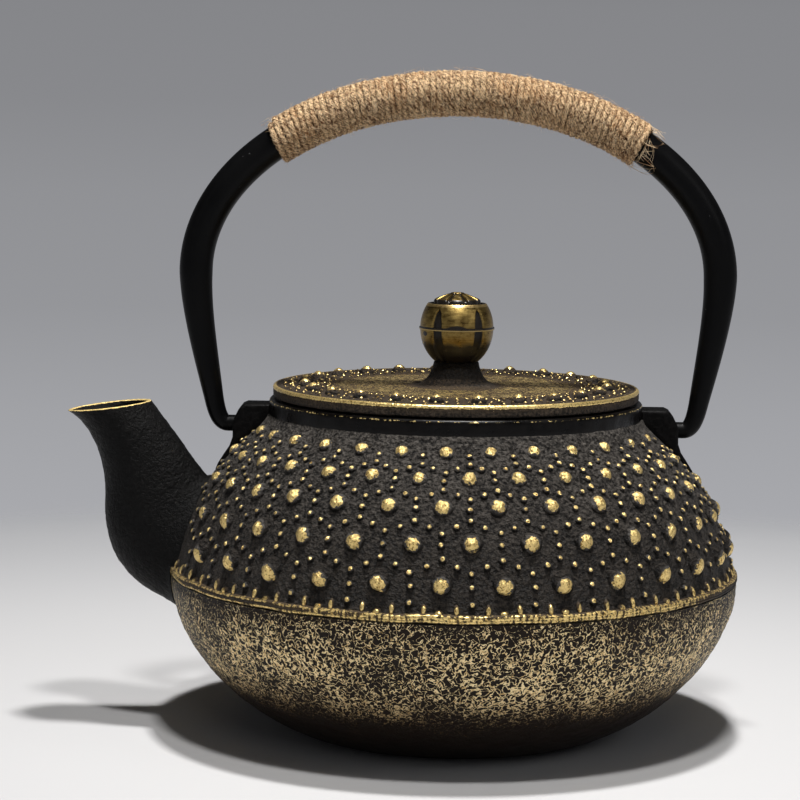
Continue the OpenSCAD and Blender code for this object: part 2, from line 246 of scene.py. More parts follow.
def brass_material():
    """Aged brass: one attribute is 1 for the patina in the flutes and for painted shade, and gold is 1 on rubbed
    edges.
    """
    s = Shader("knob_brass_aged")
    wear = s.noise(420, 4, 0.65)
    scratch = s.noise(1, 4, 0.7, vector=s.stretch(260, 260, 2200))
    dark = s.span(s.waver(s.attribute("patina"), wear, 0.55), 0.36, 0.66)
    rubbed = s.span(s.plus(s.times(wear, 0.6), scratch, 0.5), 0.38, 0.7)
    brass = s.mix(rubbed, rgb(0.17, 0.105, 0.03), rgb(0.44, 0.31, 0.1))
    brass = s.mix(s.attribute("gold"), brass, rgb(0.85, 0.62, 0.26))
    return s.set(
        Base_Color=s.mix(dark, brass, rgb(0.012, 0.009, 0.006)),
        Metallic=s.span(dark, 0, 1, 0.95, 0.15),
        Roughness=s.span(s.plus(wear, scratch, 0.5), 0.5, 1.0, 0.26, 0.42),
        Normal=s.bump(s.plus(wear, scratch), 0.00004),
    )


def jute_material():
    """Jute: streaks follow the twist through the attribute twist, with a loose hairy grain over them. A vertex
    attribute paints shade into the valleys between turns and plies."""
    s = Shader("jute_twine", Specular_IOR_Level=0.15)
    twist = s.attribute("twist", "Vector")
    streak = s.noise(1, 3, 0.65, vector=s.stretch(3.2, 3.2, 0.5, twist))
    hair = s.noise(1, 3, 0.7, vector=s.stretch(8, 8, 1.1, twist))
    both = s.math("ADD", s.times(streak, 0.4), s.times(hair, 0.3))
    both = s.plus(both, s.noise(1150, 3, 0.65, 0.8), 0.3)
    colour = s.mix(s.span(both, 0.47, 0.52), rgb(0.1, 0.028, 0.005), rgb(1.0, 0.72, 0.42))
    colour = s.mix(s.span(s.noise(120, 3, 0.6), 0.45, 0.7, 0.0, 0.32), colour, rgb(0.55, 0.26, 0.09))
    # painted shade in the valleys
    valley = s.span(s.attribute("deep"), 0.25, 0.9, 0.0, 0.93)
    return s.set(
        Base_Color=s.mix(valley, colour, rgb(0.065, 0.024, 0.008)),
        Roughness=s.span(hair, 0.3, 0.7, 0.4, 0.65),
        Normal=s.bump(both, 0.0012),
    )


def fibre_material():
    s = Shader("jute_fibre", Specular_IOR_Level=0.4)
    tint = s.noise(420, 2, 0.5)
    return s.set(
        Base_Color=s.mix(s.span(tint, 0.35, 0.62), rgb(0.34, 0.17, 0.065), rgb(0.9, 0.7, 0.45)),
        Roughness=s.span(tint, 0.3, 0.7, 0.4, 0.6),
    )


def steel_material():
    s = Shader("brushed_steel", Metallic=1.0)
    brush = s.noise(1, 4, 0.7, vector=s.stretch(120, 120, 3000))
    return s.set(
        Base_Color=s.mix(brush, rgb(0.42, 0.42, 0.43), rgb(0.66, 0.66, 0.67)),
        Roughness=s.span(brush, 0.3, 0.7, 0.22, 0.4),
        Normal=s.bump(brush, 0.00003),
    )


DOME_MAT = iron_with_gold("dome_iron", 1000, 0.0022)
RIDGE_MAT = iron_with_gold("ridge_iron", 1100, 0.0003, 0.2, wash=BRONZE)
LID_MAT = iron_with_gold("lid_iron", 1300, 0.0006, 0.07, 1350, LID_WARM, BRONZE)
BOWL_MAT = bowl_material()
SPOUT_MAT = black_cast_material("spout_black", 1100, 0.0006, 0.42, (0.003, 0.0029, 0.0029), 0.1)
NECK_MAT = black_cast_material("neck_black", 300, 0.0001, 0.26, (0.0018, 0.0014, 0.0012), 0.17)
LUG_MAT = black_cast_material("lug_black", 620, 0.0003, 0.42, (0.0024, 0.0022, 0.0022), 0.07)
INSIDE_MAT = black_cast_material("inside_enamel", 200, 0.00008, 0.3, (0.014, 0.014, 0.015), 0.5)
HANDLE_MAT = handle_material()
BRASS_MAT = brass_material()
JUTE_MAT = jute_material()
FIBRE_MAT = fibre_material()
STEEL_MAT = steel_material()


# ---- mesh helpers
def face_outwards(mesh, weld=0):
    """Turns all faces outwards, after welding points no further apart than weld metres."""
    bm = bmesh.new()
    bm.from_mesh(mesh)
    if weld:
        bmesh.ops.remove_doubles(bm, verts=bm.verts, dist=weld)
    bmesh.ops.recalc_face_normals(bm, faces=bm.faces)
    bm.to_mesh(mesh)
    bm.free()


def shaped_mesh(obj):
    """The mesh of obj with its modifiers in effect; obj itself goes."""
    made = bpy.data.meshes.new_from_object(obj.evaluated_get(bpy.context.evaluated_depsgraph_get()))
    bpy.data.objects.remove(obj)
    return made


def cut_away(obj, cutter):
    """The mesh of obj less cutter; both objects go."""
    cut = obj.modifiers.new("cut", "BOOLEAN")
    cut.operation, cut.object, cut.solver = "DIFFERENCE", cutter, "EXACT"
    made = shaped_mesh(obj)
    bpy.data.objects.remove(cutter)
    return made


class Mesh:
    """Vertices in millimetres, faces and vertex attributes, gathered for one piece."""

    def __init__(self, *attributes):
        self.points, self.faces, self.count = [], [], 0
        self.values = {name: [] for name in attributes}

    def add(self, points, faces, **values):
        """Adds points of any array shape and a list of face arrays; each attribute is one value or one per point."""
        points = np.asarray(points, float).reshape(-1, 3)
        self.points.append(points)
        for f in faces:
            self.faces.extend((f + self.count).tolist())
        for name, store in self.values.items():
            value = np.asarray(values.get(name, 0.0), float).reshape(-1)
            store.append(np.broadcast_to(value, (len(points),)))
        self.count += len(points)

    def loop(self, rows, **values):
        """Adds rows of points that close on themselves both ways."""
        self.add(rows, [band(*rows.shape[:2], closed_rows=True)], **values)

    def tube(self, rows, ends, **values):
        """Adds rings of points, closed by a fan at each of the two end points."""
        sides, total = rows.shape[1], rows.shape[0] * rows.shape[1]
        j = np.arange(sides)
        after = (j + 1) % sides
        first = np.stack([j, after, np.full(sides, total)], -1)
        last = np.stack([total - sides + j, total - sides + after, np.full(sides, total + 1)], -1)
        self.add(np.concatenate([rows.reshape(-1, 3), ends]), [band(*rows.shape[:2]), first, last], **values)

    def data(self, name, *materials):
        mesh = bpy.data.meshes.new(name)
        mesh.from_pydata((np.concatenate(self.points) * MM).tolist(), [], self.faces)
        for m in materials:
            mesh.materials.append(m)
        for key, store in self.values.items():
            attribute = mesh.attributes.new(key, "FLOAT", "POINT")
            attribute.data.foreach_set("value", np.concatenate(store).astype(np.float32))
        return mesh

    def build(self, name, materials, body, replaced=(), smooth_angle=None):
        return finish_piece(name, self.data(name, *materials), body, replaced, smooth_angle)


def finish_piece(name, mesh, body, replaced=(), smooth_angle=None, turn_out=True):
    if turn_out:
        face_outwards(mesh)
    mesh.polygons.foreach_set("use_smooth", np.ones(len(mesh.polygons), bool))
    if smooth_angle:
        mesh.set_sharp_from_angle(angle=radians(smooth_angle))
    mesh.update()
    obj = place_object(name, mesh)
    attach(obj, body)
    if replaced:
        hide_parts(*replaced)
    return obj


def band(rows, count, closed_rows=False):
    """Quads between closed rows of count points each; the last row can join the first."""
    a, b = np.meshgrid(np.arange(rows if closed_rows else rows - 1), np.arange(count), indexing="ij")
    a2, b2 = (a + 1) % rows, (b + 1) % count
    return np.stack([a * count + b, a * count + b2, a2 * count + b2, a2 * count + b], -1).reshape(-1, 4)


def around(count):
    """Angles of count equal steps round a circle."""
    return 2 * pi * np.arange(count) / count


def polar(r, a, z):
    return np.stack([r * np.cos(a), r * np.sin(a), z], -1)


def turned(profile, count):
    """Points of a profile of (radius, height) turned about Z, row by row."""
    p = np.asarray(profile, float)
    return polar(p[:, :1], around(count)[None], np.repeat(p[:, 1:2], count, 1))


def refine(profile, step):
    """The same outline with points no further apart than step."""
    p = np.asarray(profile, float)
    made = [p[0]]
    for a, b in zip(p[:-1], p[1:]):
        n = max(1, math.ceil(np.linalg.norm(b - a) / step))
        made.extend(a + (b - a) * k / n for k in range(1, n + 1))
    return np.array(made)


def waves(points, length, amount, number):
    """A smooth random height at each point: a sum of plane waves of about one wavelength."""
    r = np.random.default_rng(number)
    total = np.zeros(points.shape[:-1])
    for _ in range(26):
        d = r.normal(size=3)
        d *= 2 * pi / (length * (0.7 + 0.8 * r.random()) * np.linalg.norm(d))
        total += np.cos(points @ d + r.random() * 2 * pi)
    return amount * total / sqrt(13)


def bezier(a, b, c, d, t):
    a, b, c, d = (np.asarray(x, float) for x in (a, b, c, d))
    t = np.asarray(t, float)[..., None]
    return (1 - t) ** 3 * a + 3 * t * (1 - t) ** 2 * b + 3 * t * t * (1 - t) * c + t**3 * d


# ---- the pot's outline, as in the CAD
RIDGE_R, RIDGE_H, RIDGE_TOP = 87.5, 48.2, 50.8
BOWL_R, FOOT_R, FOOT_T, INNER_FOOT_R = 87.2, 44.5, 3.6, 42.5
NECK_R, NECK_H, MOUTH_R, LEDGE_R, LEDGE_H = 57.2, 102.0, 52.0, 54.3, 99.8
DOME_R, DOME_CX, DOME_CZ, WALL = 69.6, 17.2, 38.5, 3.2
DOME_LOW = math.degrees(math.asin((RIDGE_TOP - DOME_CZ) / DOME_R))
DOME_HIGH = 50.0
NECK_CUT, NECK_ROUGH_R = 97.4, 57


def dome_outline(radius, low, high, steps):
    a = np.radians(np.linspace(low, high, steps + 1))
    return np.stack([DOME_CX + radius * np.cos(a), DOME_CZ + radius * np.sin(a)], -1)


def bowl_outline(r_in, r_out, low, high, steps):
    a = np.radians(np.linspace(90, 0, steps + 1))
    r = r_in + (r_out - r_in) * np.cos(a).clip(0) ** 1.45
    return np.stack([r, high - (high - low) * np.sin(a).clip(0) ** 1.06], -1)


SHOULDER = dome_outline(DOME_R, DOME_HIGH, DOME_HIGH, 0)[0]
SHOULDER_LENGTH = 8.6


def shoulder_curve(t):
    """From the dome's top to the foot of the neck."""
    return bezier(SHOULDER, SHOULDER + [-2.2, 2], [NECK_R, SHOULDER[1] + 4.4], [NECK_R, SHOULDER[1] + 7], t)


SHOULDER_LINE = shoulder_curve(np.linspace(0, 1, 13)[1:])
SHOULDER_LINE = SHOULDER_LINE[SHOULDER_LINE[:, 1] < NECK_CUT - 0.3]


def pot_radius(z):
    if z < RIDGE_H:
        s = (1 - max(z, 0) / RIDGE_H) ** (1 / 1.06)
        return FOOT_R + (BOWL_R - FOOT_R) * (1 - s * s) ** 0.725
    return RIDGE_R if z < RIDGE_TOP else DOME_CX + sqrt(DOME_R**2 - (z - DOME_CZ) ** 2)


# ---- studs
# studs in a row, degrees between them, and the angle of the first from the photo's camera
STUDS, STUD_PITCH, FIRST_STUD = 30, 12.0, -2.24


def compass(degrees):
    """Outward and sideways unit vectors at an angle round the pot, counted from the photo's camera."""
    a = radians(degrees)
    return np.array([sin(a), -cos(a), 0]), np.array([cos(a), sin(a), 0])


def on_dome(arc, theta):
    """Point, outward normal, and unit vectors round and up, at an arc length in mm above the ridge's dome angle."""
    shoulder_arc = radians(DOME_HIGH) * DOME_R
    angle = arc / DOME_R
    if arc <= shoulder_arc:
        r, z = DOME_CX + DOME_R * cos(angle), DOME_CZ + DOME_R * sin(angle)
        nr, nz = cos(angle), sin(angle)
    else:
        t = min((arc - shoulder_arc) / SHOULDER_LENGTH, 1)
        r, z = shoulder_curve(np.array([t]))[0]
        lean = radians(DOME_HIGH + (8 - DOME_HIGH) * t * t)
        nr, nz = cos(lean), sin(lean)
    out, side = compass(theta)
    return r * out + np.array([0, 0, z]), nr * out + nz * UP, side, -nz * out + nr * UP


def bump_shell(mesh, place, radius, height, rings, sides, gold, shift=0.0, tall=1.0, ball=0.86, gilt=0.68):
    """One stud: a rounded boss on a soft skirt that runs into the wall, closed below. Its gold reaches out to the
    share gilt of the radius, round a point shifted down by the share shift, with painted shade in the crevice below
    it."""
    centre, normal, side, up = place
    rho = np.concatenate([[0.0], ball * np.sin(np.linspace(0, pi / 2, rings)[1:]), [1.0]])
    a = 2 * pi * (np.arange(sides) + 0.5 * random()) / sides
    wobble = 1 + 0.05 * np.cos(2 * a + random() * 6.3) + 0.04 * np.cos(3 * a + random() * 6.3)
    cap = np.sqrt((1 - (rho / ball).clip(0, 1) ** 2).clip(0))
    skirt = (1 - rho) ** 2 * (1 + 2 * rho)
    lift = height * (0.7 * cap + 0.3 * skirt) - 0.3 * rho**8
    rows, marks = [], []
    for k in range(1, len(rho)):
        x, y = rho[k] * radius * wobble * np.cos(a), tall * rho[k] * radius * wobble * np.sin(a)
        rows.append(centre + x[:, None] * side + y[:, None] * up + lift[k] * normal)
        reach = np.sqrt((x / radius) ** 2 + ((y / (tall * radius)) + shift) ** 2)
        # painted shade: beyond the gold's reach, on the stud's lower side, the value goes negative and the iron is
        # painted as shaded
        under = np.clip((reach - gilt) / 0.2, 0, 1) * np.clip(0.6 - 0.9 * y / (tall * radius), 0, 1)
        marks.append(np.maximum(gold * (1.42 - 0.92 * reach / gilt), 0) - 0.5 * gold * under)
    points = np.concatenate([(centre + lift[0] * normal)[None], *rows, (centre - 0.9 * normal)[None]])
    values = np.concatenate([[gold * (1.42 - 0.92 * abs(shift) / gilt)], *marks, [-1.0]])
    j = np.arange(sides)
    after = (j + 1) % sides
    fan = np.stack([np.zeros(sides, int), 1 + j, 1 + after], -1)
    last = 1 + (rings - 1) * sides
    base = np.stack([last + j, np.full(sides, last + sides), last + after], -1)
    mesh.add(points, [fan, band(rings, sides) + 1, base], gold=values.clip(-1, 1.4))


def clear_of_fittings(p, large=False):
    """False where a lug or the spout stands on the dome."""
    x, y, z = p
    if abs(x) > 55 and abs(y) < 7.6 + 1.5 * large and z > 78:
        return False
    if large:
        heights, widths = [50, 64, 72, 80, 88], [26, 25, 19, 12, 9]
    else:
        heights, widths = [50, 62, 68, 72, 88], [21, 20, 15, 0, 0]
    return not (x < 0 and abs(y) < np.interp(z, heights, widths))


# dome angle, first stud's angle, radius, how far it is raised, how far its gold hangs down, how far its gold reaches
LARGE = [
    (50.0, FIRST_STUD, 2.45, 1.5, 0.0, 0.72),
    (42.7, FIRST_STUD + 6, 2.65, 0.95, 0.0, 0.72),
    (35.1, FIRST_STUD, 3.15, 0.75, 0.0, 0.64),
    (26.1, FIRST_STUD + 6, 3.5, 1.05, 0.2, 0.6),
    (16.4, FIRST_STUD, 3.9, 1.6, 0.36, 0.58),
]


def pot_studs(mesh):
    rows = [(radians(angle) * DOME_R, *rest) for angle, *rest in LARGE]
    small = []
    for k, (arc, theta, radius, raised, hang, gilt) in enumerate(rows):
        for i in range(STUDS):
            t = theta + STUD_PITCH * i + uniform(-0.18, 0.18)
            p, n, side, up = on_dome(arc + raised + uniform(-0.2, 0.2), t)
            small.append((arc, theta + STUD_PITCH * (i + 0.5), 1.22))
            if not clear_of_fittings(p, True):
                continue
            size = radius * uniform(0.96, 1.05)
            lean = n + np.array([0, 0, -0.1 * (k > 1)])
            lean = lean / np.linalg.norm(lean)
            # painted shade: the top row's studs towards the sides get less gold, so they read darker
            gold = uniform(0.92, 1.06) * (0.82 if k == 0 and abs(p[0]) > 48 else 1)
            shift = hang + uniform(-0.05, 0.05)
            bump_shell(mesh, (p, lean, side, up), size, size * 0.7, 10, 24, gold, shift, 1.03, gilt=gilt)
    for (arc, theta, *_), (below, theta_low, *_) in zip(rows[:-1], rows[1:]):
        d = arc - below
        for i in range(STUDS):
            small.append((below + 0.67 * d, theta_low + STUD_PITCH * i, 1.25))
            small.append((below + 0.33 * d, theta + STUD_PITCH * i, 1.2))
            for quarter in (0.25, 0.75):
                small.append((below + 0.5 * d, theta_low + STUD_PITCH * (i + quarter), 1.2))
    arc, theta, *_ = rows[-1]
    for i in range(STUDS):
        small.append((arc - 4.7, theta + STUD_PITCH * (i + 0.5), 1.2))
    for arc, theta, radius in small:
        place = on_dome(arc + uniform(-0.25, 0.25), theta + uniform(-0.22, 0.22))
        if clear_of_fittings(place[0]):
            size = radius * uniform(0.98, 1.18)
            bump_shell(mesh, place, size, size * 0.85, 5, 12, uniform(0.8, 1.05), -0.04, gilt=0.54)
    top = rows[0][0]
    for i in range(2 * STUDS):
        for lift, turn, radius in ((2.0, 0.5, 0.85), (3.3, 0.0, 0.8)):
            arc = top + lift + uniform(-0.2, 0.2)
            place = on_dome(arc, FIRST_STUD + STUD_PITCH * 0.5 * (i + turn) + uniform(-0.4, 0.4))
            if clear_of_fittings(place[0]):
                bump_shell(mesh, place, radius, radius * 0.55, 3, 10, 0.0)


# ---- pot
def spout_passage():
    """A cylinder along the spout's axis, to cut through the wall."""
    sides, radius, depth = 48, 10, 30
    axis = Matrix.Rotation(radians(-78), 3, "Y")
    ring = [[radius * cos(t), radius * sin(t)] for t in np.linspace(0, 2 * pi, sides + 1)[:-1]]
    points = [list(axis @ Vector((x, y, h)) + Vector((-70, 0, 56))) for h in (0, depth) for x, y in ring]
    mesh = bpy.data.meshes.new("cutter")
    faces = band(2, sides).tolist() + [list(range(sides)), list(range(sides, 2 * sides))[::-1]]
    mesh.from_pydata((np.array(points) * MM).tolist(), [], faces)
    face_outwards(mesh)
    return place_object("cutter", mesh)


def make_dome():
    outer = np.concatenate([dome_outline(DOME_R, DOME_LOW, DOME_HIGH, 62), SHOULDER_LINE, [[NECK_R, NECK_CUT]]])
    outer[0] = [outer[0][0] + 0.6, RIDGE_TOP - 0.02]
    high = math.degrees(math.acos((MOUTH_R - DOME_CX) / (DOME_R - WALL)))
    low = math.degrees(math.asin((RIDGE_TOP - DOME_CZ) / (DOME_R - WALL)))
    inner = np.concatenate([[[MOUTH_R, NECK_CUT]], dome_outline(DOME_R - WALL, high, low, 16)])
    profile = np.concatenate([outer, inner])
    points = turned(profile, 360)
    rough = waves(points, 6.5, 0.07, 3) + waves(points, 2.4, 0.045, 4)
    weight = np.zeros(len(profile))
    weight[2 : len(outer) - 3] = 1
    centre = np.array([0, 0, 62.0])
    out = points - centre
    out /= np.linalg.norm(out, axis=-1, keepdims=True)
    points = points + out * (rough * weight[:, None])[..., None]
    mesh = Mesh("gold")
    mesh.loop(points)
    cutter = spout_passage()
    base = mesh.build("dome_base", [DOME_MAT], "pot", smooth_angle=50)
    shaped = cut_away(base, cutter)
    studs = Mesh("gold")
    pot_studs(studs)
    extra = studs.data("studs")
    face_outwards(extra)
    bm = bmesh.new()
    bm.from_mesh(shaped)
    bm.from_mesh(extra)
    bm.to_mesh(shaped)
    bm.free()
    finish_piece("dome_cast", shaped, "pot", ["pot_dome"], smooth_angle=52, turn_out=False)


def make_ridge():
    """The band where the bowl meets the dome: fine ribs with tool marks across them, and the studs' feet on top."""
    count, lines = 1500, 17
    s = np.linspace(0, 1, lines)
    z = RIDGE_H + 0.05 + (RIDGE_TOP - RIDGE_H + 0.1) * s
    rib = 0.1 * np.cos(2 * pi * 3.5 * s)
    edge = -1.1 * (2 * np.abs(s - 0.5)) ** 6
    a = around(count)
    marks = 0.07 * np.cos(a * 470) * (0.55 + 0.45 * np.cos(a * 7 + 1)) + 0.05 * np.cos(a * 311 + 2)
    r = RIDGE_R - 0.12 + rib[:, None] + edge[:, None] + marks[None] * (1 - np.abs(2 * s - 1) ** 4)[:, None]
    points = polar(r, a, np.repeat(z[:, None], count, 1))
    points[..., 2] += waves(points, 14, 0.12, 8)
    gold = 0.72 + 0.6 * rib[:, None] + 1.6 * marks[None] - 0.3 * (np.abs(2 * s - 1) ** 3)[:, None]
    split = np.exp(-(((np.degrees(a) - 222) / 24) ** 2))
    gold = gold - 0.9 * split * np.exp(-(((s[:, None] - 0.55) / 0.13) ** 2))
    thin = np.exp(-((((np.degrees(a) + 180) % 360 - 180) / 34) ** 4))
    gold = gold - 0.85 * thin / (1 + np.exp((s[:, None] - 0.68) / 0.05))
    mesh = Mesh("gold")
    back = [[82.2, RIDGE_TOP], [82.8, RIDGE_H]]
    mesh.loop(np.concatenate([points, turned(back, count)]), gold=np.concatenate([gold, np.full((2, count), -1.0)]))
    foot = radians(DOME_LOW) * DOME_R
    for i in range(STUDS):
        for turn, radius, tall, lift, height, strength in (
            (0.25, 1.0, 2.3, 1.1, 1.1, 1.0), (0.75, 1.0, 2.3, 1.1, 1.1, 1.0), (0.0, 1.7, 0.8, 0.2, 1.2, 0.9),
        ):
            place = on_dome(foot + lift, FIRST_STUD + STUD_PITCH * (i + turn) + uniform(-0.25, 0.25))
            x, y, _ = place[0]
            if not (x < 0 and abs(y) < 15.5):
                bump_shell(mesh, place, radius, height, 5, 14, strength, 0.0, tall)
    mesh.build("ridge_cast", [RIDGE_MAT], "pot", ["pot_bowl"], smooth_angle=60)


def make_bowl():
    outer = refine(bowl_outline(FOOT_R, BOWL_R, 0, RIDGE_H, 60), 1.1)
    inner_r = DOME_R - WALL
    inner_top = DOME_CX + inner_r * cos(math.asin((RIDGE_H - DOME_CZ) / inner_r))
    inner = bowl_outline(INNER_FOOT_R, inner_top, FOOT_T, RIDGE_H, 24)[::-1]
    profile = np.concatenate([[[0.6, 0.5], [40.0, 0.5], [41.6, 0.0]], outer, inner, [[20, FOOT_T], [0.6, FOOT_T]]])
    points = turned(profile, 420)
    weight = np.zeros(len(profile))
    weight[8 : 3 + len(outer) - 2] = 1
    rough = waves(points, 9, 0.09, 21) + waves(points, 2.6, 0.05, 22)
    r = np.hypot(points[..., 0], points[..., 1])
    points[..., :2] *= 1 + (rough * weight[:, None] / r)[..., None]
    mesh = Mesh("gold")
    mesh.loop(points)
    obj = mesh.build("bowl_cast", [BOWL_MAT, INSIDE_MAT], "pot", ["pot_bowl"], smooth_angle=50)
    polygons = obj.data.polygons
    inside = np.zeros(len(polygons), np.int32)
    centres = np.zeros(len(polygons) * 3)
    polygons.foreach_get("center", centres)
    centres = centres.reshape(-1, 3) / MM
    limit = np.array([pot_radius(z) for z in centres[:, 2]]) - 1.5
    inside[(np.hypot(centres[:, 0], centres[:, 1]) < limit) & (centres[:, 2] > 1)] = 1
    polygons.foreach_set("material_index", inside)


def make_neck():
    count = 360
    # radius, height, gold
    outline = np.array([
        [NECK_R - 0.1, NECK_CUT - 0.9, -1], [NECK_R + 0.05, NECK_CUT - 0.3, -1], [NECK_R + 0.12, 98.6, -0.3],
        [NECK_R + 0.1, 100.2, 0.05], [NECK_R + 0.12, 101.0, 0.36], [NECK_R + 0.02, 101.45, 0.5],
        [NECK_R - 0.25, 101.8, 0.32], [NECK_R - 0.7, NECK_H, -0.4], [LEDGE_R + 0.5, NECK_H, -1],
        [LEDGE_R + 0.1, 101.8, -1], [LEDGE_R, 101.4, -1], [LEDGE_R, LEDGE_H, -1], [MOUTH_R + 0.2, LEDGE_H, -1],
        [MOUTH_R, LEDGE_H - 0.2, -1], [MOUTH_R, NECK_CUT - 0.9, -1],
    ])
    points = turned(outline, count)
    # only the five lowest points, on the outside, are rough
    lower = waves(points, 5, 0.05, 31) * (np.arange(len(outline)) < 5)[:, None]
    points[..., :2] *= (1 + lower / NECK_ROUGH_R)[..., None]
    mesh = Mesh("gold")
    mesh.loop(points, gold=np.repeat(outline[:, 2], count))
    mesh.build("neck_cast", [NECK_MAT], "pot", ["pot_dome"], smooth_angle=60)


def make_lug(name, node, mirror):
    """An ear with soft cast edges, flat on top, with a blind hole for the hook."""
    half_thick = 0.0055
    outline = [
        [56.6, 100.1], [64.2, 100.1], [65.6, 99.5], [66.6, 98.2], [67.9, 95.6], [68.3, 94.0], [68.4, 89.6],
        [69.3, 87.0], [71.1, 84.3], [72.8, 81.6], [73.6, 79.6], [71.6, 80.2], [66.6, 85.6], [62.2, 89.9],
        [59.4, 92.6], [56.6, 95.0],
    ]
    bm = bmesh.new()
    near, far = ([bm.verts.new((x * mirror * MM, y, z * MM)) for x, z in outline] for y in (-half_thick, half_thick))
    bm.faces.new(near)
    bm.faces.new(far[::-1])
    for i in range(len(outline)):
        k = (i + 1) % len(outline)
        bm.faces.new([near[i], near[k], far[k], far[i]])
    bmesh.ops.recalc_face_normals(bm, faces=bm.faces)
    rim = [e for e in bm.edges if abs(e.verts[0].co.y - e.verts[1].co.y) < 1e-6]
    bmesh.ops.bevel(bm, geom=rim, offset=0.0012, segments=4, profile=0.5, affect="EDGES")
    mesh = bpy.data.meshes.new(name)
    bm.to_mesh(mesh)
    bm.free()
    body = place_object(name + "_solid", mesh)
    bpy.ops.mesh.primitive_cylinder_add(
        vertices=40, radius=0.00258, depth=0.02, location=(mirror * 0.0731, 0, 0.0935), rotation=(0, pi / 2, 0)
    )
    shaped = cut_away(body, bpy.context.object)
    shaped.materials.clear()
    shaped.materials.append(LUG_MAT)
    finish_piece(name, shaped, "pot", [node], smooth_angle=40)


# ---- spout
def spout_front(t):
    if t < 0.5:
        return bezier([-78, 36.2], [-94, 38.5], [-107.5, 46], [-108, 66], 2 * t)
    return bezier([-108, 66], [-107.6, 76], [-109, 90.5], [-119.6, 96.6], 2 * t - 1)


def spout_rear(t):
    s = 0.7 * t if t < 0.5 else 0.35 + 1.3 * (t - 0.5)
    root, tip = np.array([-71, 68.9]), np.array([-93.9, 99.9])
    return root + (tip - root) * s


def spout_point(t, angle, inset):
    front, rear = spout_front(t), spout_rear(t)
    half = 16 + (11 - 16) * (1 - max(1 - t, 0) ** 1.6)
    along = (rear - front) / np.linalg.norm(rear - front)
    p = (front + rear) / 2 + along * (np.linalg.norm(rear - front) / 2 - inset) * cos(angle)
    beak = 1 - 0.1 * t**3 * max(-cos(angle), 0) ** 2
    return np.array([p[0], (half - inset) * sin(angle) * beak, p[1]])


def spout_root(angle, inset):
    """The share of the spout's length at which it comes out of the pot."""
    low, high = 0.0, 0.6
    for _ in range(16):
        middle = (low + high) / 2
        p = spout_point(middle, angle, inset)
        if hypot(p[0], p[1]) > pot_radius(p[2]):
            high = middle
        else:
            low = middle
    return (low + high) / 2


def make_spout():
    sides, steps, inner_steps, wall = 150, 120, 40, 2.6
    angles = [2 * pi * i / sides for i in range(sides)]
    roots = [max(spout_root(a, 0) - 0.006, 0) for a in angles]
    inner_roots = [spout_root(a, wall) for a in angles]

    def row(starts, share, inset, lift=0.0):
        return [spout_point(q + (1 - q) * share, a, inset) + np.array([0, 0, lift]) for q, a in zip(starts, angles)]

    k = np.arange(steps + 1)
    outer = np.array([row(roots, i / steps, -1.5 * math.exp(-i / steps * 22)) for i in k])
    n = np.cross(np.roll(outer, -1, 1) - np.roll(outer, 1, 1), np.gradient(outer, axis=0))
    n /= np.linalg.norm(n, axis=-1, keepdims=True)
    n *= np.sign(((outer - outer.mean(1, keepdims=True)) * n).sum(-1, keepdims=True))
    fade = np.clip((steps - k) / 5, 0, 1) * np.clip(k / 4, 0.3, 1)
    rough = waves(outer, 1.8, 0.03, 41) + waves(outer, 3.4, 0.025, 42) + waves(outer, 12, 0.05, 43)
    outer = outer + n * (rough * fade[:, None])[..., None]
    gold = [-1.0] * (steps - 1) + [-0.1, 0.5]
    rim = []
    for inset, lift, g in ((0.25, 0.22, 0.72), (0.7, 0.3, 1.0), (1.15, 0.22, 0.95), (1.5, -0.1, 0.35)):
        rim.append([spout_point(1, a, inset) + np.array([-0.02, 0, lift]) for a in angles])
        gold.append(g)
    inner = [
        row(inner_roots, 1 - i / inner_steps, wall - 1.0 * math.exp(-i / 3), -0.25) for i in range(inner_steps + 1)
    ]
    gold += [-1.0] * (inner_steps + 1)
    mesh = Mesh("gold")
    mesh.loop(np.concatenate([outer, rim, inner]), gold=np.repeat(gold, sides))
    mesh.build("spout_cast", [SPOUT_MAT], "pot", ["spout"], smooth_angle=70)


# ---- handle and binding
PIVOT_H, HALF_W, RISE, WIDEST_H, BAR_R = 93.5, 80.3, 55.5, 140.0, 5.1
HOOK_R, LEG_R = 2.5, 3.0
HOOK_END, LEG_END, LEG_SPAN, ARCH_SPAN = 0.14, 0.36, 0.22, 0.64
BEND_TOP = np.array([HALF_W - 5.7, 101.5])


def bail_point(t):
    """A point on half the bail, as (distance from the axis, height); t runs from 0 at the hook to 1 at the top."""
    if t < HOOK_END:
        return bezier([70, PIVOT_H], [72.6, PIVOT_H], BEND_TOP + [-0.9, -4.7], BEND_TOP, t / HOOK_END)
    if t < LEG_END:
        u = (t - HOOK_END) / LEG_SPAN
        return bezier(BEND_TOP, BEND_TOP + [2.5, 13], [HALF_W, WIDEST_H - 11], [HALF_W, WIDEST_H], u)
    a = pi / 2 * (t - LEG_END) / ARCH_SPAN
    return np.array([HALF_W * cos(a), WIDEST_H + RISE * sin(a)])


def bar_radius(t):
    if t < HOOK_END:
        return HOOK_R + (LEG_R - HOOK_R) * t / HOOK_END
    if t < LEG_END:
        u = (t - HOOK_END) / LEG_SPAN
        return LEG_R + (BAR_R - LEG_R) * (1.25 * u - 0.25 * u * u)
    return BAR_R


def bail_frame(s):
    """Point, direction and radius on the whole bail; s runs from 0 at the spout side to 2 at the back."""
    t = s if s <= 1 else 2 - s
    low, high = max(t - 0.002, 0), min(t + 0.002, 1)
    p, d = bail_point(t), bail_point(high) - bail_point(low)
    d = d / np.linalg.norm(d)
    if t > 0.999:
        d = np.array([-1.0, 0.0])
    if t < 0.001:
        d = np.array([1.0, 0.0])
    if s <= 1:
        return np.array([-p[0], 0, p[1]]), np.array([-d[0], 0, d[1]]), bar_radius(t)
    return np.array([p[0], 0, p[1]]), np.array([-d[0], 0, -d[1]]), bar_radius(t)


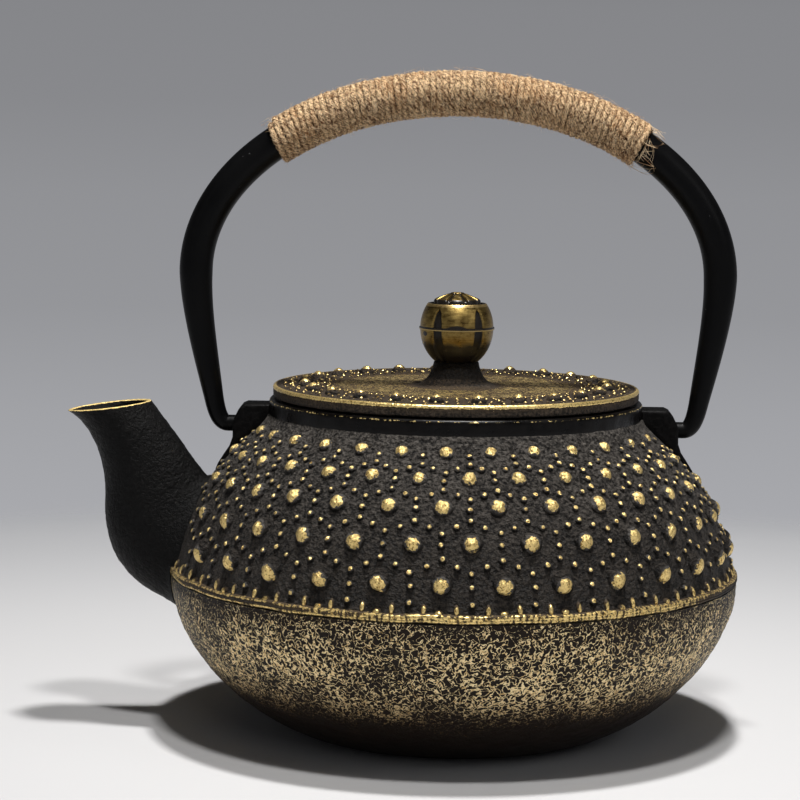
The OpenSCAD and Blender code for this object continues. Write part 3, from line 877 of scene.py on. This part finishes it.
def make_handle():
    stations = np.concatenate([np.linspace(0, 0.28, 34), np.linspace(0.28, 1.72, 150)[1:-1], np.linspace(1.72, 2, 34)])
    a = around(40)[:, None]
    rows = []
    for s in stations:
        p, d, r = bail_frame(s)
        rows.append(p + r * (np.cos(a) * np.array([-d[2], 0, d[0]]) + np.sin(a) * np.array([0, 1.0, 0])))
    rows = np.array(rows)
    mesh = Mesh()
    mesh.tube(rows, [rows[0].mean(0), rows[-1].mean(0)])
    mesh.build("bail_bar", [HANDLE_MAT], "handle", ["bail_handle"], smooth_angle=50)


def running_length(points):
    return np.concatenate([[0], np.cumsum(np.linalg.norm(np.diff(points, axis=0), axis=1))])


# the binding starts 45.2 degrees up the arch on the spout's side and ends at 45.5 degrees at the back
GRIP_LOW, GRIP_HIGH = LEG_END + ARCH_SPAN * 45.2 / 90, 2 - (LEG_END + ARCH_SPAN * 45.5 / 90)
ARCH_S = np.linspace(GRIP_LOW, GRIP_HIGH, 400)
ARCH_L = running_length(np.array([bail_frame(s)[0] for s in ARCH_S]))
GRIP_LENGTH = ARCH_L[-1]


def grip_place(length, angle, radius):
    """A point at a length along the binding, an angle round the bar (0 towards the top) and a radius."""
    p, d, _ = bail_frame(float(np.interp(length, ARCH_L, ARCH_S)))
    over = length - np.clip(length, 0, GRIP_LENGTH)
    out = np.array([-d[2], 0, d[0]])
    return p + d * over + radius * (cos(angle) * out + sin(angle) * np.array([0, -1.0, 0]))


def make_grip():
    """The binding: one helix of three-ply twine, whose turns drift, lean and swell a little at random."""
    turns, per_turn, twine_r, ply_length = 63, 52, 0.96, 6.4
    drift = np.cumsum(rng.normal(0, 0.12, turns + 2))
    drift -= np.linspace(drift[0], drift[-1], len(drift))
    fat = 1 + rng.normal(0, 0.08, turns + 2)
    rise = rng.normal(0, 0.12, turns + 2)
    n = turns * per_turn
    path, radii = [], []
    for k in range(n + 1):
        turn = k / per_turn
        drifted, swollen, risen = (float(np.interp(turn, range(turns + 2), v)) for v in (drift, fat, rise))
        angle = 2 * pi * turn
        share = turn / turns
        tilt = 1.1 * (1 - share) ** 1.2
        length = twine_r + (GRIP_LENGTH - 2 * twine_r) * share + drifted * 0.6
        length += tilt * cos(angle) * min(1, 6 * (1 - share))
        length += 0.1 * sin(3 * angle + turn)
        bulge = risen * (0.5 + 0.5 * sin(angle + turn * 0.7))
        reach = BAR_R + 0.86 + 0.12 * abs(bulge) + 0.05 * sin(5 * angle + turn * 2.1)
        path.append(grip_place(length, angle, reach))
        radii.append(twine_r * swollen)
    path = np.array(path)
    along = running_length(path)
    tangent = np.gradient(path, axis=0)
    tangent /= np.linalg.norm(tangent, axis=1, keepdims=True)
    steps = np.arange(n + 1)
    out = path - np.array([bail_frame(float(np.interp(GRIP_LENGTH * k / n, ARCH_L, ARCH_S)))[0] for k in steps])
    out -= (out * tangent).sum(1, keepdims=True) * tangent
    out /= np.linalg.norm(out, axis=1, keepdims=True)
    side = np.cross(tangent, out)
    a = around(16)
    lean = a[None] - (-2 * pi * along / ply_length)[:, None]
    r = np.array(radii)[:, None] * (1 + 0.24 * np.cos(3 * lean))
    r = r * np.clip(np.minimum(steps, n - steps) / 5, 0.25, 1)[:, None]
    ring = path[:, None] + r[..., None] * (
        np.cos(a)[None, :, None] * out[:, None] + 1.04 * np.sin(a)[None, :, None] * side[:, None]
    )
    # painted shade: darker on the side towards the bar and in the valleys between the plies
    deep = (1 - np.cos(a))[None] * 0.4 + 0.8 * np.clip(-np.cos(3 * lean) - 0.15, 0, 1)
    mesh = Mesh("deep")
    mesh.tube(ring, [path[0], path[-1]], deep=np.concatenate([deep.reshape(-1), [0.6, 0.6]]))
    obj = mesh.build("jute_binding", [JUTE_MAT], "handle", ["grip_wrap"])
    vector = np.stack([np.cos(lean), np.sin(lean), np.broadcast_to(along[:, None], lean.shape)], -1).reshape(-1, 3)
    vector = np.concatenate([vector, [[0, 0, 0], [0, 0, along[-1]]]])
    attribute = obj.data.attributes.new("twist", "FLOAT_VECTOR", "POINT")
    attribute.data.foreach_set("vector", vector.astype(np.float32).ravel())


def strand(mesh, points, thickness):
    """A thin fibre along points, three-sided and pointed at both ends."""
    p = np.asarray(points, float)
    d = np.gradient(p, axis=0)
    d /= np.linalg.norm(d, axis=1, keepdims=True) + 1e-9
    x = np.cross(d, [0.31, 0.87, 0.38])
    x /= np.linalg.norm(x, axis=1, keepdims=True) + 1e-9
    y = np.cross(d, x)
    w = thickness * np.clip(np.minimum(np.arange(len(p)) + 0.5, len(p) - 0.5 - np.arange(len(p))), 0.3, 1)
    ring = [p + w[:, None] * (cos(q) * x + sin(q) * y) for q in (0, 2.094, 4.189)]
    n = len(p) * 3
    mesh.add(np.stack(ring, 1), [band(len(p), 3), np.array([[0, 2, 1]]), np.array([[n - 3, n - 2, n - 1]])])


def make_fibres():
    """Short hairs over the binding, longer ones that stand off it, a tuft at the right end and the twine's tail."""
    mesh = Mesh()
    outer = BAR_R + 1.75
    for _ in range(2300):
        length, angle = uniform(0, GRIP_LENGTH), uniform(0, 2 * pi)
        lies = random() < 0.82
        reach, heading, bend = uniform(1.5, 5.5), gauss(1.2, 0.6), gauss(0, 0.5)
        points = []
        for u in np.arange(6) / 5:
            lift = 0.22 * sin(pi * u) if lies else uniform(0.5, 1.3) * u**1.5 * 1.4
            turn = heading + bend * u
            round_bar = angle + reach * u * sin(turn) / outer
            points.append(grip_place(length + reach * u * cos(turn), round_bar, outer - 0.05 + lift))
        strand(mesh, points, uniform(0.03, 0.07) if lies else uniform(0.02, 0.035))
    for _ in range(46):
        length, angle = uniform(6, GRIP_LENGTH - 6), uniform(-1.1, 1.1)
        reach, bend = uniform(3, 9), gauss(0, 0.8)
        heading = choice([0, pi]) + gauss(0, 0.5)
        points = []
        for u in np.arange(8) / 7:
            turn = heading + bend * u
            lift = 1.9 * u * (1 - 0.45 * u) * uniform(0.95, 1.05)
            round_bar = angle + 0.5 * reach * u * sin(turn) / outer
            points.append(grip_place(length + reach * u * cos(turn), round_bar, outer + lift))
        strand(mesh, points, uniform(0.025, 0.04))
    for _ in range(15):
        angle = uniform(0.9, 2.7)
        reach, bend, heading = uniform(2.5, 7.5), gauss(0, 1.3), gauss(0.3, 0.8)
        points = []
        for u in np.arange(9) / 8:
            turn = heading + bend * u * 1.6
            length = GRIP_LENGTH - 0.6 + reach * u * abs(cos(turn))
            points.append(grip_place(length, angle + reach * u * sin(turn) / 6, outer - 0.9 * u + 0.4 * sin(3 * u)))
        strand(mesh, points, uniform(0.03, 0.055))
    tail = []
    for u in np.arange(22) / 21:
        x, y = 5.4 * sin(pi * u) ** 0.8, 0.5 * sin(2 * pi * u + 0.6)
        tail.append(grip_place(GRIP_LENGTH - 0.4 + x, 1.9 + 0.42 * u + 0.12 * y, outer - 0.3 - 0.35 * sin(pi * u)))
    strand(mesh, tail, 0.07)
    mesh.build("jute_fibres", [FIBRE_MAT], "handle")


# ---- lid
LID_R, RISER_TOP = 56, 113.7
LID_STUDS, FIRST_LID_STUD = 24, -6.79
# radius, angle from the large stud, size of the small studs in each of the lid's sectors
LID_SMALL = [
    (41.6, 0, 0.95), (51.2, 0, 0.95), (46.5, 7.5, 0.95), (43.6, 7.5, 0.85), (49.4, 7.5, 0.85), (42.6, 3.7, 0.9),
    (42.6, 11.3, 0.9), (50.4, 3.7, 0.9), (50.4, 11.3, 0.9), (40.5, 7.5, 0.8), (52.4, 7.5, 0.8), (39.6, 3.5, 0.7),
    (39.6, 11.5, 0.7), (38.9, 0, 0.65), (38.7, 7.5, 0.6), (52.9, 2.6, 0.6), (52.9, 12.4, 0.6),
]


def lid_bead(mesh, r, degrees, radius, height, gold, rings=4, sides=12, ball=0.62, gilt=0.55):
    out, side = compass(degrees)
    z = float(np.interp(r, [13.5, 36, 42, 53.2], [106.25, 106.2, 106.05, 105.9]))
    place = (r * out + [0, 0, z], UP, side, -out)
    bump_shell(mesh, place, radius, height, rings, sides, gold, uniform(-0.05, 0.05), 1.0, ball, gilt)


def make_lid():
    count = 480
    edge = [[53.0, 102.5], [55.2, 102.5], [55.75, 102.62], [56.05, 102.95]]
    side = [[56.1, 103.4], [56.12, 103.9], [56.12, 104.4], [56.15, 104.8]]
    roll_a = np.radians(np.linspace(-35, 150, 12))
    roll = np.stack([55.35 + 0.85 * np.cos(roll_a), 105.4 + 0.85 * np.sin(roll_a)], -1)
    top = refine([[54.2, 105.86], [53.2, 105.9], [42, 106.05], [36, 106.2], [13.5, 106.25]], 0.8)
    t = np.linspace(0, 1, 15)
    riser = bezier([12.6, 106.3], [8.9, 107.3], [7.5, 110.2], [6.9, 113.5], t)
    under = [
        [6.6, RISER_TOP], [2.1, RISER_TOP], [2.1, 102.9], [44.5, 102.9], [44.5, 96.3], [44.8, 96.0], [47.2, 96.0],
        [47.5, 96.3], [47.5, 100.7], [53.2, 100.7], [53.5, 101.0],
    ]
    profile = np.concatenate([edge, side, roll, top, riser, under])
    gold = np.concatenate([
        # painted shade: negative values darken the iron under the lid's rim
        [-1, -0.6, -0.2, 0.02],
        [0.1, 0.13, 0.16, 0.22],
        [0.22, 0.42, 0.85, 1.25, 1.3, 1.3, 1.2, 0.95, 0.55, 0.3, 0.1, 0.0],
        np.interp(top[:, 0], [12, 13.6, 16, 30, 35.5, 39, 54], [0.0, 0.28, 0.48, 0.52, 0.46, 0.18, 0.12]),
        # painted shade beneath the knob: the riser darkens towards its top
        np.interp(t, [0, 0.12, 0.3, 1], [0.1, 0.1, -0.22, -0.6]),
        # painted shade on the underside
        np.full(len(under), -1.0),
    ])
    points = turned(profile, count)
    relief = waves(points, 1.5, 0.035, 51) + waves(points, 5, 0.03, 52)
    start, roll_start = len(edge), len(edge) + len(side)
    roll_end, end = roll_start + len(roll), len(profile) - len(under) - 1
    weight = np.zeros(len(profile))
    weight[start:end] = 1
    weight[roll_start:roll_end] = 0.5
    relief *= weight[:, None]
    points[roll_end:end, :, 2] += relief[roll_end:end]
    points[start:roll_end, :, :2] *= (1 + relief[start:roll_end] / LID_R)[..., None]
    front = -np.sin(around(count))
    foot = (profile[:, 0] < 13) & (profile[:, 0] > 8.6) & (profile[:, 1] > 106)
    values = gold[:, None] + 0.22 * foot[:, None] * front[None].clip(0) ** 2
    mesh = Mesh("gold")
    mesh.loop(points, gold=values)
    pitch = 360 / LID_STUDS
    for i in range(LID_STUDS):
        a = FIRST_LID_STUD + pitch * i
        lid_bead(mesh, 46.5 + uniform(-0.2, 0.2), a, 2.8, 2.4, uniform(0.9, 1.05), 9, 22, 0.84, 0.56)
        for r, turn, size in LID_SMALL:
            lid_bead(mesh, r + uniform(-0.25, 0.25), a + turn + uniform(-0.3, 0.3), size * 1.1,
                     size * uniform(0.9, 1.1), uniform(0.55, 0.85))
    mesh.build("lid_cast", [LID_MAT], "lid", ["lid"], smooth_angle=52)


# ---- knob
KNOB_R, SEAM_H, KNOB_RZ = 11.25, 124.0, 12.7
SHELL_WALL = 1.4
SHELL_LOW, SHELL_HIGH = 113.8, 131.15
FLUTES = (38.7, -33.3, 110.7, -105.3, -177.3)


def knob_shell(name, low, high, node, upper):
    """Half of the knob's ball, with flutes; low and high are its heights."""
    count, steps = 300, 34
    z = np.linspace(low, high, steps + 1)
    r = KNOB_R * np.sqrt(1 - ((z - SEAM_H) / KNOB_RZ) ** 2)
    a = around(count)
    theta = np.degrees(np.arctan2(np.cos(a), -np.sin(a)))
    width = np.interp(z, [112, 116, 120, 126, 129, 130.2], [0.0, 1.2, 1.6, 1.45, 0.8, 0.0])[:, None]
    shade = np.zeros((steps + 1, count))
    for centre in FLUTES:
        off = np.abs((theta - centre + 180) % 360 - 180) * pi / 180 * r[:, None]
        shade = np.maximum(shade, np.clip((width + 0.28 - off) / 0.5, 0, 1) * (width > 0.02))
    points = polar(r[:, None] - 0.95 * shade, a, np.repeat(z[:, None], count, 1))
    theta, h = theta[None], z[:, None]
    if upper:
        # painted shadow: a dark crescent in the gap just above the seam at the front
        dark = np.clip(1.25 - ((theta / 19) ** 2 + ((h - SEAM_H - 0.3) / 1.25) ** 2), 0, 1)
        low_dark = 0.3 * np.clip((126.5 - h) / 3, 0, 1) * (np.abs(theta) > 48)
        first = [[KNOB_R + 0.3, SEAM_H], [KNOB_R + 0.3, SEAM_H + 0.3]]
        last = [[9.2, 131.35], [8.9, 131.62], [8.4, 131.6], [8.1, 131.2], [7.2, 131.1], [2.5, 131.1], [2.5, 130.1]]
        inner_z = np.linspace(130.1, SEAM_H, 8)
    else:
        dark = np.clip(1.3 - (((theta + 60) / 7) ** 2 + ((h - 122.6) / 0.8) ** 2), 0, 1)
        # painted shade: the lower shell darkens towards its bottom, which faces down
        low_dark = np.clip((123.3 - h) / 7, 0.15, 0.95)
        first = [[2.05, low], [r[0] - 0.4, low]]
        last = [[KNOB_R + 0.3, SEAM_H - 0.3], [KNOB_R + 0.3, SEAM_H]]
        inner_z = np.linspace(SEAM_H, 115.4, 9)
    shade = np.maximum(np.maximum(shade, dark), low_dark)
    last += [[(KNOB_R - SHELL_WALL) * sqrt(1 - ((q - SEAM_H) / (KNOB_RZ - SHELL_WALL)) ** 2), q] for q in inner_z]
    if not upper:
        last.append([2.05, 115.4])
    patina = np.concatenate([np.full((len(first), count), 0.35), shade, np.full((len(last), count), 0.4)])
    bright = np.zeros_like(patina)
    top = len(first) + steps
    if upper:
        patina[: len(first) + 2] = 0.9
        bright[top - 1 : top + 4] = 0.9
        patina[top - 1 : top + 3] = 0.0
        patina[top + 3 :] = 1.0
    else:
        bright[top + 1 : top + 3] = 0.6
        patina[top + 1 : top + 3] = 0.0
    mesh = Mesh("patina", "gold")
    mesh.loop(np.concatenate([turned(first, count), points, turned(last, count)]), patina=patina, gold=bright)
    mesh.build(name, [BRASS_MAT], "knob", [node], smooth_angle=40)


def make_rosette():
    """A low cone of eight raised petals round a flat centre."""
    count, steps, petals = 288, 30, 8
    share = np.linspace(0, 1, steps + 1)
    a = around(count)
    phase = (a + pi / 2) * petals / (2 * pi)
    off = np.abs(phase - np.round(phase))
    groove = np.clip((off - 0.34) / 0.09, 0, 1)
    reach = np.clip((share - 0.3) / 0.1, 0, 1)
    cut = groove[None] * reach[:, None]
    ring = np.abs(share - 0.31) < 0.04
    rim = 7.2 - 0.5 * (2 * off) ** 4
    height = np.interp(share, [0, 0.26, 0.34, 0.88, 0.96, 1], [134.95, 134.9, 134.65, 133.15, 132.8, 132.3])
    points = polar(share[:, None] * rim[None], a, height[:, None] - 0.6 * cut - 0.2 * ring[:, None])
    points[0, :, :2] = 0.01 * points[1, :, :2]
    skirt = polar(rim, a, np.full(count, 131.2))[None]
    peg = turned([[2.45, 131.2], [2.45, 130.1], [0.01, 130.1]], count)
    edge = np.clip(1 - np.abs(off[None] - 0.2) / 0.16, 0, 1) * reach[:, None]
    worn = np.maximum(0.9 * ring, np.clip((share - 0.9) / 0.06, 0, 1))
    patina = np.concatenate([np.maximum(cut, worn[:, None]), np.full((4, count), 1.0)])
    gold = np.concatenate([0.35 * edge * (1 - cut), np.zeros((4, count))])
    mesh = Mesh("patina", "gold")
    mesh.loop(np.concatenate([points, skirt, peg]), patina=patina, gold=gold)
    mesh.build("knob_cap", [BRASS_MAT], "knob", ["knob_rosette"], smooth_angle=45)


# ---- infuser
BASKET_R, SHEET, COLLAR_R, COLLAR_TOP = 48.6, 0.6, 54.0, 100.6
INNER_R = BASKET_R - SHEET
WALL_LOW, WALL_HIGH, FLOOR_H = 57.6, 97.4, 53.72


def pierced_cell(corner, along, across):
    """Points and faces of one square cell with an eight-sided hole."""
    ring = [(0, 0), (0.5, 0), (1, 0), (1, 0.5), (1, 1), (0.5, 1), (0, 1), (0, 0.5)]
    outer = [corner + u * along + v * across for u, v in ring]
    middle = corner + 0.5 * (along + across)
    inner = [middle + 0.25 * (cos(a) * along + sin(a) * across) for a in np.radians(225 + 45 * np.arange(8))]
    faces = np.array([[k, (k + 1) % 8, 8 + (k + 1) % 8, 8 + k] for k in range(8)])
    return np.array(outer + inner), faces


def thicken(mesh, name, replaced):
    """Builds the sheet, welds its cells and gives it a real thickness."""
    data = mesh.data(name, STEEL_MAT)
    face_outwards(data, weld=1e-5)
    obj = place_object(name, data)
    solid = obj.modifiers.new("thickness", "SOLIDIFY")
    solid.thickness, solid.offset = 0.5 * MM, 0
    made = shaped_mesh(obj)
    made.name = name
    finish_piece(name, made, "infuser", replaced, smooth_angle=35)


def make_infuser():
    collar = [
        [INNER_R, 99.6], [INNER_R + 0.2, 100.3], [49.2, COLLAR_TOP], [COLLAR_R - 0.4, COLLAR_TOP], [COLLAR_R, 100.3],
        [COLLAR_R, 100.0], [COLLAR_R - 0.3, 99.8], [49.6, 99.8], [BASKET_R, 99.3], [BASKET_R, 97.0], [INNER_R, 97.0],
    ]
    foot = [
        [INNER_R, 58.0], [BASKET_R, 58.0], [BASKET_R, 54.4], [BASKET_R - 0.4, 53.6], [BASKET_R - 1.2, 53.4],
        [42.0, 53.4], [42.0, 54.05], [BASKET_R - 1.4, 54.05], [INNER_R, 54.8],
    ]
    mesh = Mesh()
    for profile in (collar, foot):
        mesh.loop(turned(profile, 360))
    mesh.build("infuser_rims", [STEEL_MAT], "infuser", ["infuser_collar"], smooth_angle=50)
    x_axis, y_axis = np.array([1.0, 0, 0]), np.array([0, 1.0, 0])
    wall, columns, lines = Mesh(), 108, 14
    for i in range(columns):
        for k in range(lines):
            p, faces = pierced_cell(np.array([i, k, 0.0]), x_axis, y_axis)
            a = 2 * pi * p[:, 0] / columns
            wall.add(polar(BASKET_R - SHEET / 2, a, WALL_LOW + (WALL_HIGH - WALL_LOW) * p[:, 1] / lines), [faces])
    thicken(wall, "infuser_mesh_wall", ["infuser_wall"])
    floor, pitch = Mesh(), 3.0
    reach = int(BASKET_R / pitch)
    for i in range(-reach, reach):
        for k in range(-reach, reach):
            far = max(hypot(i + u, k + v) for u in (0, 1) for v in (0, 1)) * pitch
            if far < 46.8:
                corner = np.array([i * pitch, k * pitch, FLOOR_H])
                points, faces = pierced_cell(corner, pitch * x_axis, pitch * y_axis)
                floor.add(points, [faces])
    thicken(floor, "infuser_mesh_floor", ["infuser_floor"])


# ---- stage and light
def make_stage():
    """A pale round floor that fades into the backdrop."""
    count, radii, drop = 96, [0.2, 0.36, 0.5, 0.62], -0.0001
    mesh = bpy.data.meshes.new("floor")
    points = [(0, 0, drop)] + [
        (r * cos(2 * pi * i / count), r * sin(2 * pi * i / count), drop) for r in radii for i in range(count)
    ]
    faces = [(0, 1 + i, 1 + (i + 1) % count) for i in range(count)]
    faces += (band(len(radii), count) + 1).tolist()
    mesh.from_pydata(points, [], faces)
    s = Shader("floor_pale", Roughness=0.75, Specular_IOR_Level=0.2)
    away = s.node("ShaderNodeVectorMath", {0: s.place}, operation="LENGTH").outputs["Value"]
    weave = s.noise(1, 2, 0.5, vector=s.stretch(500, 1400, 1))
    s.set(
        # painted falloff of light: the floor is paler near the pot and greyer further out, grading into the backdrop
        Base_Color=s.mix(s.span(away, 0.12, 0.45), rgb(0.63, 0.63, 0.64), rgb(0.5, 0.508, 0.53)),
        Normal=s.bump(weave, 0.00004),
        Alpha=s.span(away, 0.5, 0.385),
    )
    mesh.materials.append(s.mat)
    place_object("floor", mesh)


def make_world():
    """A grey backdrop, by the height of the direction: pale at the floor's edge, and dim from overhead."""
    world = bpy.data.worlds.new("studio")
    bpy.context.scene.world = world
    world.use_nodes = True
    tree = world.node_tree
    back = tree.nodes["Background"]
    coords = tree.nodes.new("ShaderNodeTexCoord")
    split = tree.nodes.new("ShaderNodeSeparateXYZ")
    tree.links.new(coords.outputs["Generated"], split.inputs[0])

    def height_range(**ends):
        n = tree.nodes.new("ShaderNodeMapRange")
        for key, value in ends.items():
            n.inputs[key.replace("_", " ")].default_value = value
        tree.links.new(split.outputs["Z"], n.inputs["Value"])
        return n.outputs["Result"]

    ramp = tree.nodes.new("ShaderNodeValToRGB")
    tree.links.new(height_range(From_Min=-0.17, From_Max=0.12), ramp.inputs[0])
    stops = [(0.0, 0.42), (0.2, 0.36), (0.33, 0.305), (0.48, 0.285), (0.6, 0.25), (0.72, 0.24), (1.0, 0.16)]
    while len(ramp.color_ramp.elements) < len(stops):
        ramp.color_ramp.elements.new(0.5)
    for element, (place, grey) in zip(ramp.color_ramp.elements, stops):
        element.position = place
        element.color = (grey * 0.985, grey * 0.995, grey * 1.05, 1)
    tree.links.new(ramp.outputs[0], back.inputs["Color"])
    tree.links.new(height_range(From_Min=0.1, From_Max=0.35, To_Min=1.0, To_Max=0.07), back.inputs["Strength"])


def area_light(name, place, target, size, watts, colour=(1, 1, 1)):
    data = bpy.data.lights.new(name, "AREA")
    data.shape = "RECTANGLE"
    data.size, data.size_y = size
    data.energy = watts
    data.color = colour
    lamp = place_object(name, data)
    lamp.location = place
    lamp.rotation_euler = (Vector(target) - Vector(place)).to_track_quat("-Z", "Y").to_euler()


def make_lights():
    warm = (1, 0.985, 0.965)
    area_light("overhead", (0.05, -0.06, 1.05), (0.02, 0, 0), (0.08, 0.08), 10.0, warm)
    area_light("forward", (0.05, -0.42, 1.05), (0, 0, 0), (0.1, 0.1), 5.9, warm)
    area_light("front_soft", (0.1, -1.35, 0.95), (0, 0, 0.08), (0.45, 0.8), 0.95)
    area_light("left_strip", (-0.9, -0.5, 0.6), (0, 0, 0.1), (0.15, 0.5), 0.08)
    area_light("right_fill", (0.8, -0.5, 0.62), (0, 0, 0.05), (0.4, 0.4), 0.65)


make_stage()
make_world()
make_lights()
make_dome()
make_ridge()
make_bowl()
make_neck()
make_lug("lug_cast_spout_side", "lug_spout_side", -1)
make_lug("lug_cast_back_side", "lug_back_side", 1)
make_spout()
make_handle()
make_grip()
make_fibres()
make_lid()
knob_shell("knob_shell_low", SHELL_LOW, SEAM_H - 0.3, "knob_lower_shell", False)
knob_shell("knob_shell_high", SEAM_H + 0.3, SHELL_HIGH, "knob_upper_shell", True)
make_rosette()
make_infuser()
for node, material in {
    "hook_pin_spout_side": HANDLE_MAT,
    "hook_pin_back_side": HANDLE_MAT,
    "knob_rivet": STEEL_MAT,
    "knob_washer": STEEL_MAT,
}.items():
    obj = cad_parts[node]
    obj.data.materials.clear()
    obj.data.materials.append(material)
